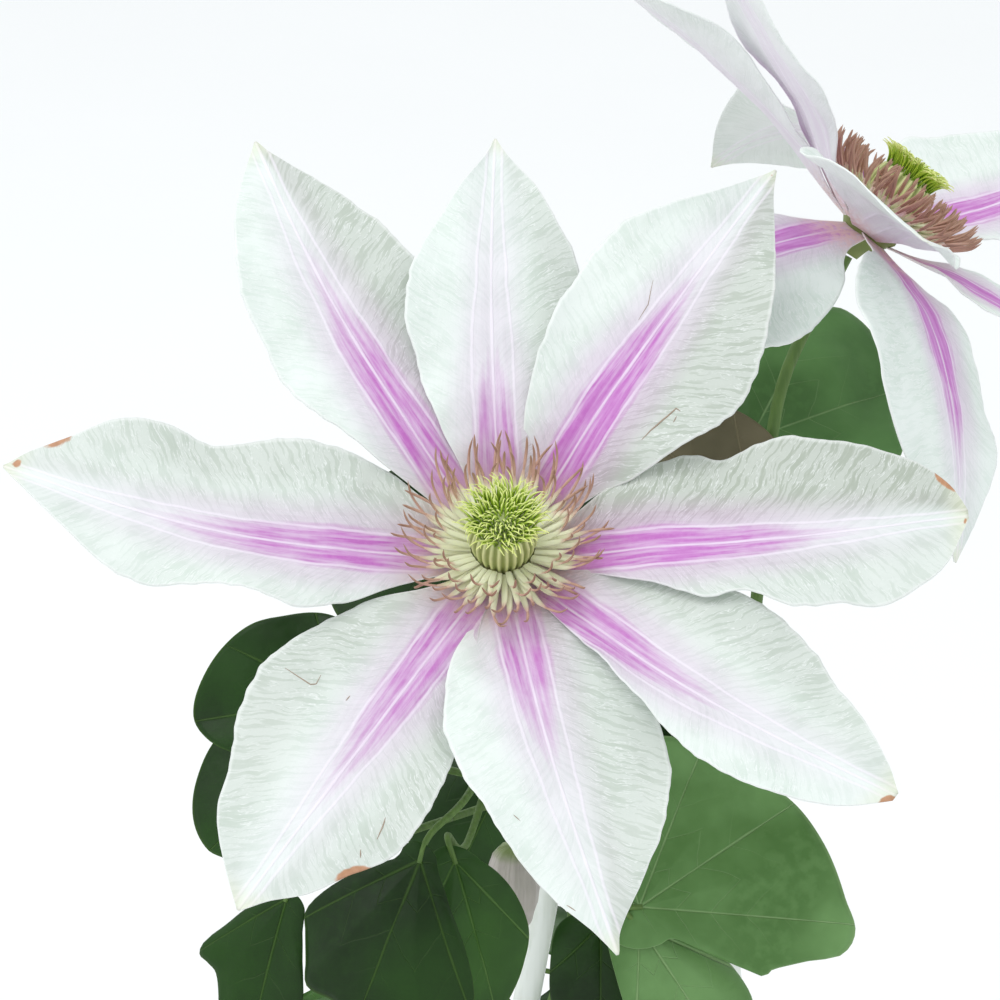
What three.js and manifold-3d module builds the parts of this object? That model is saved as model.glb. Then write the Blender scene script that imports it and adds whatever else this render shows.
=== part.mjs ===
// A potted clematis: a terracotta pot of soil, three stakes tied in a cone, three leafy climbing
// stems, two open blooms and two buds. Millimetres, +Z up, the origin under the middle of the pot.
import * as THREE from 'three';
import { mergeVertices } from 'three/addons/utils/BufferGeometryUtils.js';
import Module from 'manifold-3d';

const wasm = await Module();
wasm.setup();

const gap = 0.3; // clearance between pieces that touch in the real thing
const degrees = Math.PI / 180;

const pot = {
  height: 185, footRadius: 72, collarRadius: 92, rimRadius: 103, rimHeight: 34, lip: 3,
  wall: 8, floor: 10, drainRadius: 6, drainRing: 38, drainHoles: 4, sides: 28,
};
const soil = { edgeHeight: 164, shoulderHeight: 167, moundHeight: 170 };

// Three stakes lean together into a cap.
const stake = { radius: 3, buried: 110, sides: 10, top: 505, topX: 0, topY: 6, ring: 4.6 };
const stakeFeet = [[-58, -26], [38, -50], [14, 60]];
const cap = { radius: 11, height: 16, grip: 9, sides: 20 };

// A stem leaves the soil upright and then winds round its stake, clear of it.
const stem = { radius: 1.7, tipRadius: 1.25, sides: 6, firstStep: 212, step: 24, offset: 6.6 };
const stemFoot = [146, 156, 168, 180];
const windStart = 200; // the height at which a stem's turn round its stake is counted from
const clasp = { radius: 4.3, thickness: 0.8, sides: 3, steps: 12, points: 9, pitch: 1.1 };

// A stalk tapers to less than half a blade's thickness, so that it ends inside its leaf.
const stalk = { radius: 1, tip: 0.3, sunk: 1.6, lead: 5, sides: 3 };
const leafShape = { across: 2, along: 5, thickness: 0.8, root: 0.08, arch: 0.16, heart: 0.14, fold: 0.12 };
const ternate = { turn: 76, middleStalk: 18, sideStalk: 11, sideShare: 0.84, halfWidth: 0.38, droop: 0.3 };

const tepalShape = { across: 4, along: 8, thickness: 0.8, root: 3, rootWidth: 2.4, tipWidth: 0.35 };
const receptacle = { radius: 6.6, neck: 2.2, top: 2.4, bottom: -5, sides: 12 };
const collar = { inner: 6.2, outer: 9, bottom: 2.7, top: 7, sides: 12 };
const stamen = { count: 26, reach: 16, spread: 3.5, rise: 4.4, radius: 0.6, sides: 3, steps: 3 };
const ovary = { radius: 5.6, bottom: 2.7, top: 14.5, sides: 10 };
const style = { count: 11, reach: 6.5, rise: 3.2, radius: 0.8, tip: 0.5, sides: 3, steps: 2 };
const goldenTurn = Math.PI * (3 - Math.sqrt(5));

// Each tepal: its direction round the bloom, its length, its widest half on either side with the
// share of the length where that lies, how blunt it is (less than 1 is blunter), how far its midrib
// bows sideways, and its height over its neighbours. Its slope in degrees at the root and at the tip
// is the bloom's, unless it has its own.
const bloom1 = {
  name: 'bloom_1', centre: [-33, -75, 500], facing: [0, -0.574, 0.819], slope: [22, -4],
  tepals: [
    { turn: 91, length: 82, left: [15.4, 0.54], right: [15.4, 0.56], blunt: 0.95, bow: 1.3, lift: 3.6 },
    { turn: 55, length: 89, left: [19.2, 0.56], right: [20.8, 0.46], blunt: 0.95, bow: -0.8, lift: 4.8 },
    { turn: 0, length: 79, left: [22, 0.56], right: [12.8, 0.7], blunt: 0.6, bow: -4, lift: 3.6 },
    { turn: 321, length: 81, left: [21, 0.57], right: [9.2, 0.7], blunt: 0.8, bow: -5.2, lift: 2.4 },
    { turn: 283, length: 79, left: [19.4, 0.53], right: [16.2, 0.46], blunt: 1, bow: -2, lift: 1.2 },
    { turn: 239, length: 81, left: [16, 0.64], right: [22.8, 0.53], blunt: 0.95, bow: 1.2, lift: 0 },
    { turn: 173, length: 87, left: [13.4, 0.56], right: [21.6, 0.47], blunt: 0.75, bow: 7.6, lift: 1.2 },
    { turn: 120, length: 92, left: [14.6, 0.56], right: [18.6, 0.5], blunt: 0.95, bow: 4.5, lift: 2.4 },
  ],
};
const bloom2 = {
  name: 'bloom_2', centre: [38.5, -3, 536.5], facing: [0.601, 0.156, 0.784], slope: [16, -2],
  tepals: [
    { turn: 355, length: 78, left: [17, 0.52], right: [17, 0.52], blunt: 0.9, lift: 1.2 },
    { turn: 50, length: 80, left: [18, 0.52], right: [18, 0.52], blunt: 0.8, lift: 2.4, slope: [20, 46] },
    { turn: 105, length: 76, left: [17, 0.52], right: [17, 0.52], blunt: 0.9, lift: 1.2, slope: [8, -16] },
    { turn: 172, length: 84, left: [15, 0.5], right: [15, 0.5], blunt: 0.9, lift: 2.4, slope: [12, 0] },
    { turn: 198, length: 82, left: [14, 0.5], right: [14, 0.5], blunt: 1, lift: 3.6, slope: [14, 20] },
    { turn: 226, length: 76, left: [19, 0.5], right: [19, 0.5], blunt: 0.9, lift: 0, slope: [-30, -66] },
    { turn: 258, length: 60, left: [19, 0.5], right: [19, 0.5], blunt: 0.7, lift: 3, slope: [8, -14] },
    { turn: 294, length: 82, left: [18, 0.5], right: [18, 0.5], blunt: 0.9, lift: 2.4, slope: [-4, -34] },
  ],
};
// Each climbing stem: its stake, where it leaves the soil, how it winds, where it leaves the stake,
// and its course from there to what it carries. A ternate leaf stands at a height on the stem, by a
// bearing. Each single leaf has the course of its stalk, its root, its tip and the way it faces.
const vines = [
  {
    name: 'vine_1', stake: 0, root: [-65, -22], turn: 136, twist: 1.2, leaveStake: 380, steps: 20,
    clasps: [238, 330],
    crown: [[-28, -24, 414], [-34, -42, 446], [-33, -57, 474], [-33, -71.9, 495.4]],
    ternate: [
      { height: 212, bearing: 162, reach: 30, size: 50 },
      { height: 216, bearing: 266, reach: 34, size: 48 },
      { height: 262, bearing: 205, reach: 32, size: 46 },
      { height: 300, bearing: 250, reach: 28, size: 44 },
    ],
    leaves: [
      {
        stalk: [[-34, -44, 450], [-39, -75, 452]], base: [-48, -89, 446], tip: [-60, -110, 416],
        face: [-0.2, -0.75, 0.6], left: 16, right: 18,
      },
      {
        stalk: [[-34, -40, 442], [-38, -60, 441]], base: [-42, -77, 438], tip: [-33, -92, 405],
        face: [0.2, -0.8, 0.5], left: 12, right: 12,
      },
      {
        stalk: [[-31, -28, 424], [-55, -60, 432]], base: [-73, -85, 435], tip: [-86, -97, 410],
        face: [-0.3, -0.75, 0.55], left: 9, right: 9, notch: 0.2,
      },
      {
        stalk: [[-33, -35, 434], [-50, -48, 450]], base: [-64, -60, 463], tip: [-93, -62, 462],
        face: [-0.2, -0.8, 0.55], left: 16, right: 17, at: 0.6, blunt: 0.7,
      },
      {
        stalk: [[-32, -30, 428], [-50, -44, 440]], base: [-66, -55, 450], tip: [-90, -66, 438],
        face: [-0.2, -0.75, 0.6], left: 16, right: 14, at: 0.6, blunt: 0.7,
      },
    ],
    budStalks: [[[-34, -42, 446], [-31, -49, 440], [-31, -48, 424.4]]],
  },
  {
    name: 'vine_2', stake: 1, root: [47, -55], turn: 310, twist: 1.68, leaveStake: 408, steps: 22,
    clasps: [240, 350],
    crown: [[18, -16, 440], [20, -15, 472], [23, -9, 506], [35.2, -3.9, 532]],
    ternate: [
      { height: 212, bearing: 12, reach: 34, size: 50 },
      { height: 216, bearing: 285, reach: 34, size: 48 },
      { height: 262, bearing: 330, reach: 30, size: 46 },
      { height: 306, bearing: 38, reach: 26, size: 44 },
    ],
    leaves: [
      {
        stalk: [[16, -20, 398], [6, -52, 414]], base: [-7, -76, 427], tip: [34, -81, 431],
        face: [0.1, -0.8, 0.6], left: 29, right: 15, at: 0.55, blunt: 0.6,
      },
      {
        stalk: [[17, -22, 392], [4, -54, 406]], base: [-7, -77, 424], tip: [13, -88, 400],
        face: [0.1, -0.8, 0.5], left: 13, right: 12,
      },
      {
        stalk: [[17, -24, 384], [2, -50, 398]], base: [-14, -69, 418], tip: [-15, -80, 390],
        face: [0, -0.8, 0.5], left: 9, right: 9,
      },
      {
        stalk: [[20, -15, 470], [17, -6, 482]], base: [18, -1, 491], tip: [54, 4, 492],
        face: [0, -0.7, 0.7], left: 20, right: 14, at: 0.45,
      },
      {
        stalk: [[17, -22, 412], [12, -38, 414]], base: [4, -46, 420], tip: [4, -38, 452],
        face: [0, -0.9, 0.4], left: 14, right: 14,
      },
    ],
    budStalks: [],
  },
  {
    name: 'vine_3', stake: 2, root: [14, 70], turn: 84, twist: 0.54, leaveStake: 380, steps: 18,
    clasps: [240, 332],
    crown: [[-6, 30, 412], [-24, 26, 438], [-38, 18, 452]],
    ternate: [
      { height: 212, bearing: 50, reach: 34, size: 50 },
      { height: 216, bearing: 132, reach: 34, size: 50 },
      { height: 262, bearing: 95, reach: 28, size: 46 },
      { height: 312, bearing: 170, reach: 28, size: 44 },
      { height: 356, bearing: 125, reach: 24, size: 42 },
    ],
    leaves: [
      {
        stalk: [[-8, 30, 415], [-18, 28, 412]], base: [-28, 21, 407], tip: [-47, 4, 375],
        face: [-0.2, -0.75, 0.6], left: 18, right: 18,
      },
    ],
    budStalks: [],
  },
];
const buds = [
  { name: 'bud_1', base: [-31, -48, 424], facing: [0, -0.15, -1], length: 20, width: 11 },
  { name: 'bud_2', base: [-38.3, 17.8, 452.4], facing: [-0.5, -0.3, 0.8], length: 24, width: 12 },
];

// Joins and cuts.

function toSolid(geometry) {
  const bare = geometry.clone();
  for (const name of Object.keys(bare.attributes)) {
    if (name !== 'position') bare.deleteAttribute(name);
  }
  const merged = mergeVertices(bare, 1e-5);
  return new wasm.Manifold(new wasm.Mesh({
    numProp: 3,
    vertProperties: new Float32Array(merged.attributes.position.array),
    triVerts: new Uint32Array(merged.index.array),
  }));
}

function joined(solids) {
  return solids.reduce((whole, next) => whole.add(next));
}

function toMesh(name, solid, material) {
  const result = solid.getMesh();
  const geometry = new THREE.BufferGeometry();
  geometry.setAttribute('position', new THREE.BufferAttribute(new Float32Array(result.vertProperties), 3));
  geometry.setIndex(new THREE.BufferAttribute(new Uint32Array(result.triVerts), 1));
  geometry.computeVertexNormals();
  const mesh = new THREE.Mesh(geometry, material);
  mesh.name = name;
  return mesh;
}

// The turn that takes a shape made along Y to another direction.
function turnedTo(axis) {
  return new THREE.Quaternion().setFromUnitVectors(new THREE.Vector3(0, 1, 0), axis.clone().normalize());
}

// A turned solid with its axis along Z: a lathe turns about Y, so the profile is stood up.
function turned(points, sides) {
  const profile = points.map(([radius, height]) => new THREE.Vector2(radius, height));
  return toSolid(new THREE.LatheGeometry(profile, sides).rotateX(Math.PI / 2));
}

// A round rod from one point to another.
function rod(from, to, radius, sides) {
  const axis = new THREE.Vector3().subVectors(to, from);
  const geometry = new THREE.CylinderGeometry(radius, radius, axis.length(), sides);
  geometry.applyQuaternion(turnedTo(axis));
  geometry.translate((from.x + to.x) / 2, (from.y + to.y) / 2, (from.z + to.z) / 2);
  return toSolid(geometry);
}

// A tapering tube along a smooth curve through the points.
function tube(points, startRadius, endRadius, sides, steps) {
  const curve = new THREE.CatmullRomCurve3(points);
  const section = new THREE.Shape();
  for (let i = 0; i < sides; i += 1) {
    const angle = (2 * Math.PI * i) / sides;
    section[i ? 'lineTo' : 'moveTo'](startRadius * Math.cos(angle), startRadius * Math.sin(angle));
  }
  const geometry = new THREE.ExtrudeGeometry(section, { steps, extrudePath: curve, curveSegments: 1 });
  const spine = curve.getSpacedPoints(steps);
  const place = geometry.attributes.position;
  const point = new THREE.Vector3();
  for (let i = 0; i < place.count; i += 1) {
    point.fromBufferAttribute(place, i);
    let nearest = 0;
    for (let j = 1; j <= steps; j += 1) {
      if (point.distanceToSquared(spine[j]) < point.distanceToSquared(spine[nearest])) nearest = j;
    }
    const scale = 1 + (endRadius / startRadius - 1) * (nearest / steps);
    point.sub(spine[nearest]).multiplyScalar(scale).add(spine[nearest]);
    place.setXYZ(i, point.x, point.y, point.z);
  }
  return toSolid(geometry);
}

// A thin blade: place(u, s) gives the middle surface, u from -1 to 1 across, s from 0 to 1 along.
// Both faces carry the same triangles, and a rim joins them.
function blade(across, along, thickness, place) {
  const sheet = new THREE.PlaneGeometry(2, 1, across, along);
  const middle = sheet.attributes.position;
  for (let i = 0; i < middle.count; i += 1) {
    const spot = place(middle.getX(i), middle.getY(i) + 0.5);
    middle.setXYZ(i, spot.x, spot.y, spot.z);
  }
  sheet.computeVertexNormals();
  const normal = sheet.attributes.normal;
  const count = middle.count;
  const positions = new Float32Array(count * 6);
  for (let i = 0; i < count; i += 1) {
    for (const [side, offset] of [[1, 0], [-1, count]]) {
      const half = (side * thickness) / 2;
      positions[3 * (i + offset)] = middle.getX(i) + half * normal.getX(i);
      positions[3 * (i + offset) + 1] = middle.getY(i) + half * normal.getY(i);
      positions[3 * (i + offset) + 2] = middle.getZ(i) + half * normal.getZ(i);
    }
  }
  const triangles = [];
  const top = sheet.index.array;
  for (let i = 0; i < top.length; i += 3) {
    triangles.push(top[i], top[i + 1], top[i + 2]);
    triangles.push(top[i + 2] + count, top[i + 1] + count, top[i] + count);
  }
  const row = across + 1;
  const border = [];
  for (let i = 0; i < across; i += 1) border.push(i);
  for (let i = 0; i < along; i += 1) border.push(across + row * i);
  for (let i = across; i > 0; i -= 1) border.push(i + row * along);
  for (let i = along; i > 0; i -= 1) border.push(row * i);
  border.forEach((a, i) => {
    const b = border[(i + 1) % border.length];
    triangles.push(a, b, b + count, a, b + count, a + count);
  });
  const geometry = new THREE.BufferGeometry();
  geometry.setAttribute('position', new THREE.BufferAttribute(positions, 3));
  geometry.setIndex(triangles);
  return toSolid(geometry);
}

// The frame of a bloom: its axis faces out of it, and its first axis is level.
function bloomFrame(bloom) {
  const out = new THREE.Vector3(...bloom.facing).normalize();
  const right = new THREE.Vector3(0, 1, 0).cross(out).normalize();
  const up = new THREE.Vector3().crossVectors(out, right);
  return new THREE.Matrix4().makeBasis(right, up, out).setPosition(...bloom.centre);
}

// A point of a bloom by its bearing, its distance from the axis and its height on the axis.
function bloomPoint(frame, bearing, out, up) {
  return new THREE.Vector3(out * Math.cos(bearing), out * Math.sin(bearing), up).applyMatrix4(frame);
}

// A turned solid on the axis of a bloom.
function turnedInBloom(frame, points, sides) {
  const profile = points.map(([radius, height]) => new THREE.Vector2(radius, height));
  return toSolid(new THREE.LatheGeometry(profile, sides).rotateX(Math.PI / 2).applyMatrix4(frame));
}

function smooth(from, to, value) {
  const t = Math.min(Math.max((value - from) / (to - from), 0), 1);
  return t * t * (3 - 2 * t);
}

// The middle line of a tepal bends evenly from its root slope to its tip slope.
function tepalLine(length, [rootSlope, tipSlope], s) {
  const start = rootSlope * degrees;
  const bend = (tipSlope - rootSlope) * degrees;
  const angle = start + bend * s;
  return {
    out: tepalShape.root + (length * (Math.sin(angle) - Math.sin(start))) / bend,
    up: (length * (Math.cos(start) - Math.cos(angle))) / bend,
  };
}

// Half the width of a tepal: it swells to its widest place and ends in a point.
function tepalHalf(s, [widest, widestAt], blunt) {
  const power = Math.log(0.5) / Math.log(widestAt);
  const swell = Math.sin(Math.PI * Math.min(s ** power, 1)) ** blunt;
  const narrowRoot = 1 - 0.35 * (1 - s) ** 3;
  return tepalShape.rootWidth * (1 - s) ** 2 + widest * swell * narrowRoot + tepalShape.tipWidth;
}

// The middle surface of a tepal, with a waved edge and a shallow gutter at its root.
function tepalPoint(bloom, tepal, index, u, s) {
  const line = tepalLine(tepal.length, tepal.slope ?? bloom.slope, s);
  const half = tepalHalf(s, u > 0 ? tepal.right : tepal.left, tepal.blunt);
  const side = (tepal.bow ?? 0) * Math.sin(Math.PI * s) - u * half;
  const edge = u * u * smooth(0.12, 0.4, s) * Math.sin(Math.PI * s) ** 0.5;
  const phase = 2.3 * s + 0.37 * index + (u > 0 ? 0.25 : 0);
  const wave = 1.3 * edge * Math.sin(2 * Math.PI * phase);
  const gutter = 1.5 * Math.abs(u) * smooth(0, 0.3, s) * (1 - s);
  const turn = tepal.turn * degrees;
  return new THREE.Vector3(
    line.out * Math.cos(turn) - side * Math.sin(turn),
    line.out * Math.sin(turn) + side * Math.cos(turn),
    line.up + tepal.lift * smooth(0.05, 0.35, s) + wave + gutter,
  );
}

// Eight tepals fused on one receptacle.
function makeTepals(bloom) {
  const frame = bloomFrame(bloom);
  const { radius, neck, top, bottom, sides } = receptacle;
  const profile = [[0, bottom], [neck, bottom], [radius, 0], [radius, top], [0, top]];
  const { across, along, thickness } = tepalShape;
  const tepals = bloom.tepals.map((tepal, index) => (
    blade(across, along, thickness, (u, s) => tepalPoint(bloom, tepal, index, u, s).applyMatrix4(frame))
  ));
  return joined([turnedInBloom(frame, profile, sides), ...tepals]);
}

// A collar of fused filaments that carries slim anthers in three rows, each curling in at its tip.
function makeStamens(bloom) {
  const frame = bloomFrame(bloom);
  const { inner, outer, bottom, top, sides } = collar;
  const profile = [
    [inner, bottom], [outer - 0.6, bottom + 2.4], [outer, top], [inner, top - 0.6], [inner, bottom],
  ];
  const solids = [turnedInBloom(frame, profile, sides)];
  for (let i = 0; i < stamen.count; i += 1) {
    const bearing = (2 * Math.PI * (i + 0.5)) / stamen.count;
    const row = i % 3;
    const far = stamen.reach + stamen.spread * ((i * 0.618) % 1) - 1.6 * row;
    const high = top + stamen.rise + 1.6 * row;
    const course = [
      bloomPoint(frame, bearing, outer - 1.6, top - 1.4),
      bloomPoint(frame, bearing, 0.72 * far, high - 2),
      bloomPoint(frame, bearing, far, high),
      bloomPoint(frame, bearing, far - 0.8, high + 2),
    ];
    solids.push(tube(course, stamen.radius, stamen.radius * 0.7, stamen.sides, stamen.steps));
  }
  return joined(solids);
}

// The ovary barrel and the tuft of curling styles on it.
function makePistil(bloom) {
  const frame = bloomFrame(bloom);
  const { radius, bottom, top, sides } = ovary;
  const profile = [
    [0, bottom], [radius * 0.8, bottom], [radius, bottom + 3],
    [radius, top - 4], [radius * 0.75, top - 1], [0, top],
  ];
  const solids = [turnedInBloom(frame, profile, sides)];
  for (let i = 0; i < style.count; i += 1) {
    const bearing = i * goldenTurn;
    const share = Math.sqrt((i + 0.5) / style.count);
    const root = radius * 0.62 * share;
    const out = style.reach * share;
    const high = top + style.rise * (1 - 0.5 * share);
    const course = [
      bloomPoint(frame, bearing, root, top - 2.4),
      bloomPoint(frame, bearing, (root + out) / 2, high),
      bloomPoint(frame, bearing, out, high - 0.6),
    ];
    solids.push(tube(course, style.radius, style.tip, style.sides, style.steps));
  }
  return joined(solids);
}

// The point on a stake at a height.
function onStake(index, height) {
  const [x, y] = stakeFeet[index];
  const share = (height - soil.edgeHeight) / (stake.top - soil.edgeHeight);
  const angle = Math.atan2(y - stake.topY, x - stake.topX);
  const topX = stake.topX + stake.ring * Math.cos(angle);
  const topY = stake.topY + stake.ring * Math.sin(angle);
  return new THREE.Vector3(x, y, soil.edgeHeight).lerp(new THREE.Vector3(topX, topY, stake.top), share);
}

// A point beside a stake, by its bearing round it and its distance from the stake's middle.
function besideStake(index, height, bearing, distance) {
  const aside = new THREE.Vector3(Math.cos(bearing), Math.sin(bearing), 0);
  return onStake(index, height).addScaledVector(aside, distance);
}

// The stem climbs beside its stake in a loose spiral.
function windTurn(vine, height) {
  return (vine.turn + vine.twist * (height - windStart)) * degrees;
}

function onStem(vine, height) {
  return besideStake(vine.stake, height, windTurn(vine, height), stem.offset);
}

function stemCourse(vine) {
  const course = stemFoot.map((height) => new THREE.Vector3(...vine.root, height));
  for (let height = stem.firstStep; height <= vine.leaveStake; height += stem.step) {
    course.push(onStem(vine, height));
  }
  return course.concat(vine.crown.map((p) => new THREE.Vector3(...p)));
}

// The frame of a leaf: it starts at its root, runs to its tip and faces up from its blade.
function leafFrame({ base, tip, face }) {
  const start = new THREE.Vector3(...base);
  const along = new THREE.Vector3(...tip).sub(start);
  const length = along.length();
  along.normalize();
  const up = new THREE.Vector3(...face).projectOnPlane(along).normalize();
  return { start, along, up, across: new THREE.Vector3().crossVectors(along, up), length };
}

// A blade is heart-shaped at the root and arched, and its two halves rise to a shallow fold. A
// notched one has a bite at two thirds of its length, where its lobes part.
function leafBlade(leaf) {
  const { left, right, notch = 0, at = 0.36, blunt = 0.85 } = leaf;
  const { start, along, up, across, length } = leafFrame(leaf);
  const { root, heart, fold, arch } = leafShape;
  const power = Math.log(0.5) / Math.log(at + root * (1 - at));
  return blade(leafShape.across, leafShape.along, leafShape.thickness, (u, s) => {
    const widest = u > 0 ? right : left;
    const swell = Math.sin(Math.PI * (root + (1 - root) * s) ** power) ** blunt;
    const bite = 1 - notch * Math.exp(-(((s - 0.62) / 0.12) ** 2));
    const back = heart * length * u * u * (1 - s) ** 2;
    const wave = 0.05 * widest * Math.sin(9 * s + 3 * u) * u * u;
    return start.clone()
      .addScaledVector(along, s * length - back)
      .addScaledVector(across, u * (widest * swell * bite + 0.35))
      .addScaledVector(up, fold * Math.abs(u) * widest + wave + arch * length * s * (1 - s));
  });
}

// The last stretch of a stalk runs straight into the root of its blade.
function stalkEnd(leaf) {
  const { start, along, up } = leafFrame(leaf);
  const way = along.clone().addScaledVector(up, leafShape.arch).normalize();
  return [start.clone().addScaledVector(way, -stalk.lead), start.clone().addScaledVector(way, stalk.sunk)];
}

// Three leaflets on one stalk. They are held level and droop at the tip.
function ternateLeaf(vine, { height, bearing, reach, size }) {
  const from = onStem(vine, height);
  const out = new THREE.Vector3(Math.cos(bearing * degrees), Math.sin(bearing * degrees), 0);
  const hub = from.clone().addScaledVector(out, reach).setZ(from.z + 0.45 * reach);
  const middle = from.clone().lerp(hub, 0.5);
  middle.z += 3;
  const pieces = [];
  for (const side of [-1, 0, 1]) {
    const way = out.clone().applyAxisAngle(new THREE.Vector3(0, 0, 1), side * ternate.turn * degrees);
    way.z = -ternate.droop;
    const length = side ? size * ternate.sideShare : size;
    const root = hub.clone().addScaledVector(way, side ? ternate.sideStalk : ternate.middleStalk);
    const leaf = {
      base: root.toArray(),
      tip: root.clone().addScaledVector(way, length).toArray(),
      face: [0, 0, 1],
      left: length * ternate.halfWidth,
      right: length * ternate.halfWidth,
      notch: side ? 0 : 0.16,
    };
    const end = stalkEnd(leaf)[1];
    const course = side ? [hub, end] : [from, middle, hub, end];
    pieces.push(tube(course, stalk.radius * (side ? 0.8 : 1), stalk.tip, stalk.sides, side ? 1 : 5));
    pieces.push(leafBlade(leaf));
  }
  return pieces;
}

// A leaf stalk wound once round the stake, which is what holds the stem to it.
function stalkRoundStake(vine, height) {
  const course = [onStem(vine, height)];
  for (let i = 0; i < clasp.points; i += 1) {
    const bearing = windTurn(vine, height) + (2 * Math.PI * (i + 0.8)) / (clasp.points + 1);
    course.push(besideStake(vine.stake, height + 1 + clasp.pitch * i, bearing, clasp.radius));
  }
  return tube(course, clasp.thickness, clasp.thickness, clasp.sides, clasp.steps);
}

function nearestOn(points, goal) {
  return points.reduce((best, point) => (point.distanceTo(goal) < best.distanceTo(goal) ? point : best));
}

function makeVine(vine) {
  const course = stemCourse(vine);
  const fine = new THREE.CatmullRomCurve3(course).getSpacedPoints(200);
  const startOnStem = (points) => {
    const [first, ...rest] = points.map((p) => new THREE.Vector3(...p));
    return [nearestOn(fine, first), ...rest];
  };
  const pieces = [tube(course, stem.radius, stem.tipRadius, stem.sides, vine.steps)];
  for (const leaf of vine.ternate) pieces.push(...ternateLeaf(vine, leaf));
  for (const leaf of vine.leaves) {
    const path = [...startOnStem(leaf.stalk), ...stalkEnd(leaf)];
    pieces.push(tube(path, stalk.radius, stalk.tip, stalk.sides, 5));
    pieces.push(leafBlade(leaf));
  }
  for (const points of vine.budStalks) {
    pieces.push(tube(startOnStem(points), stalk.radius, stalk.radius, stalk.sides, 4));
  }
  for (const height of vine.clasps) pieces.push(stalkRoundStake(vine, height));
  return joined(pieces);
}

function makePot() {
  const { height, footRadius, collarRadius, rimRadius, rimHeight, lip, wall, floor, sides } = pot;
  const rimFoot = height - rimHeight;
  const body = turned([
    [0, 0], [footRadius, 0], [collarRadius, rimFoot],
    [rimRadius - lip, rimFoot], [rimRadius, rimFoot + lip],
    [rimRadius + 1, height - lip], [rimRadius - 1, height], [rimRadius - wall, height],
    [collarRadius - wall + 1, rimFoot], [footRadius - wall, floor], [0, floor], [0, 0],
  ], sides);
  const holes = [];
  for (let i = 0; i < pot.drainHoles; i += 1) {
    const angle = (2 * Math.PI * (i + 0.5)) / pot.drainHoles;
    const x = pot.drainRing * Math.cos(angle);
    const y = pot.drainRing * Math.sin(angle);
    holes.push(rod(new THREE.Vector3(x, y, -5), new THREE.Vector3(x, y, floor + 5), pot.drainRadius, 12));
  }
  return body.subtract(joined(holes));
}

// The soil fills the pot, and each stake and stem stands in a plain hole in it.
function makeSoil() {
  const { footRadius, collarRadius, wall, floor, height, rimHeight, rimRadius } = pot;
  const { edgeHeight, shoulderHeight, moundHeight } = soil;
  const rimFoot = height - rimHeight;
  const share = (edgeHeight - rimFoot) / rimHeight;
  const edge = collarRadius - wall + 1 + (rimRadius - collarRadius - 1) * share - gap * 2;
  const body = turned([
    [0, floor + gap], [footRadius - wall - gap, floor + gap], [collarRadius - wall + 1 - gap * 2, rimFoot],
    [edge, edgeHeight], [edge * 0.66, shoulderHeight], [edge * 0.33, moundHeight - 1],
    [0, moundHeight], [0, floor + gap],
  ], pot.sides);
  const holes = stakeEnds.map(([foot, top]) => rod(foot, top, stake.radius + gap, stake.sides));
  for (const vine of vines) {
    const low = new THREE.Vector3(...vine.root, stemFoot[0] - gap);
    const high = new THREE.Vector3(...vine.root, stemFoot[3]);
    holes.push(rod(low, high, stem.radius + 2 * gap, 10));
  }
  return body.subtract(joined(holes));
}

// The cap takes the tops of the stakes in three sockets.
function makeCap() {
  const low = new THREE.Vector3(stake.topX, stake.topY, stake.top - cap.grip);
  const high = low.clone().setZ(low.z + cap.height);
  const sockets = stakeFeet.map((_, index) => (
    rod(onStake(index, stake.top - 40), onStake(index, stake.top + gap), stake.radius + gap, stake.sides)
  ));
  return rod(low, high, cap.radius, cap.sides).subtract(joined(sockets));
}

// A closed bud of folded tepals, hanging or standing along its axis.
function makeBud(bud) {
  const profile = [[0, 0], [0.3, 0.02], [0.46, 0.2], [0.5, 0.42], [0.36, 0.74], [0.12, 0.95], [0, 1]]
    .map(([radius, height]) => new THREE.Vector2(radius * bud.width, height * bud.length));
  const geometry = new THREE.LatheGeometry(profile, 12);
  geometry.applyQuaternion(turnedTo(new THREE.Vector3(...bud.facing)));
  geometry.translate(...bud.base);
  return toSolid(geometry);
}

function paint(color, roughness) {
  return new THREE.MeshStandardMaterial({ color, roughness, metalness: 0 });
}

const stakeEnds = stakeFeet.map((_, index) => [onStake(index, stake.buried), onStake(index, stake.top)]);
const tepalPaint = paint(0xeef3ee, 0.6);
const leafPaint = paint(0x365a24, 0.5);
const stakePaint = paint(0xeceeea, 0.4);

const group = new THREE.Group();
group.add(toMesh('pot', makePot(), paint(0xb5693f, 0.85)));
group.add(toMesh('soil', makeSoil(), paint(0x3a2c22, 0.95)));
stakeEnds.forEach(([foot, top], index) => {
  group.add(toMesh(`stake_${index + 1}`, rod(foot, top, stake.radius, stake.sides), stakePaint));
});
group.add(toMesh('stake_cap', makeCap(), stakePaint));
for (const vine of vines) group.add(toMesh(vine.name, makeVine(vine), leafPaint));
for (const bud of buds) group.add(toMesh(bud.name, makeBud(bud), tepalPaint));
for (const bloom of [bloom1, bloom2]) {
  group.add(toMesh(`${bloom.name}_tepals`, makeTepals(bloom), tepalPaint));
  group.add(toMesh(`${bloom.name}_stamens`, makeStamens(bloom), paint(0xb58f78, 0.7)));
  group.add(toMesh(`${bloom.name}_pistil`, makePistil(bloom), paint(0x9fb552, 0.6)));
}

export default group;
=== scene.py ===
import math
import random

import bmesh
import bpy
from mathutils import Matrix, Vector, noise


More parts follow.
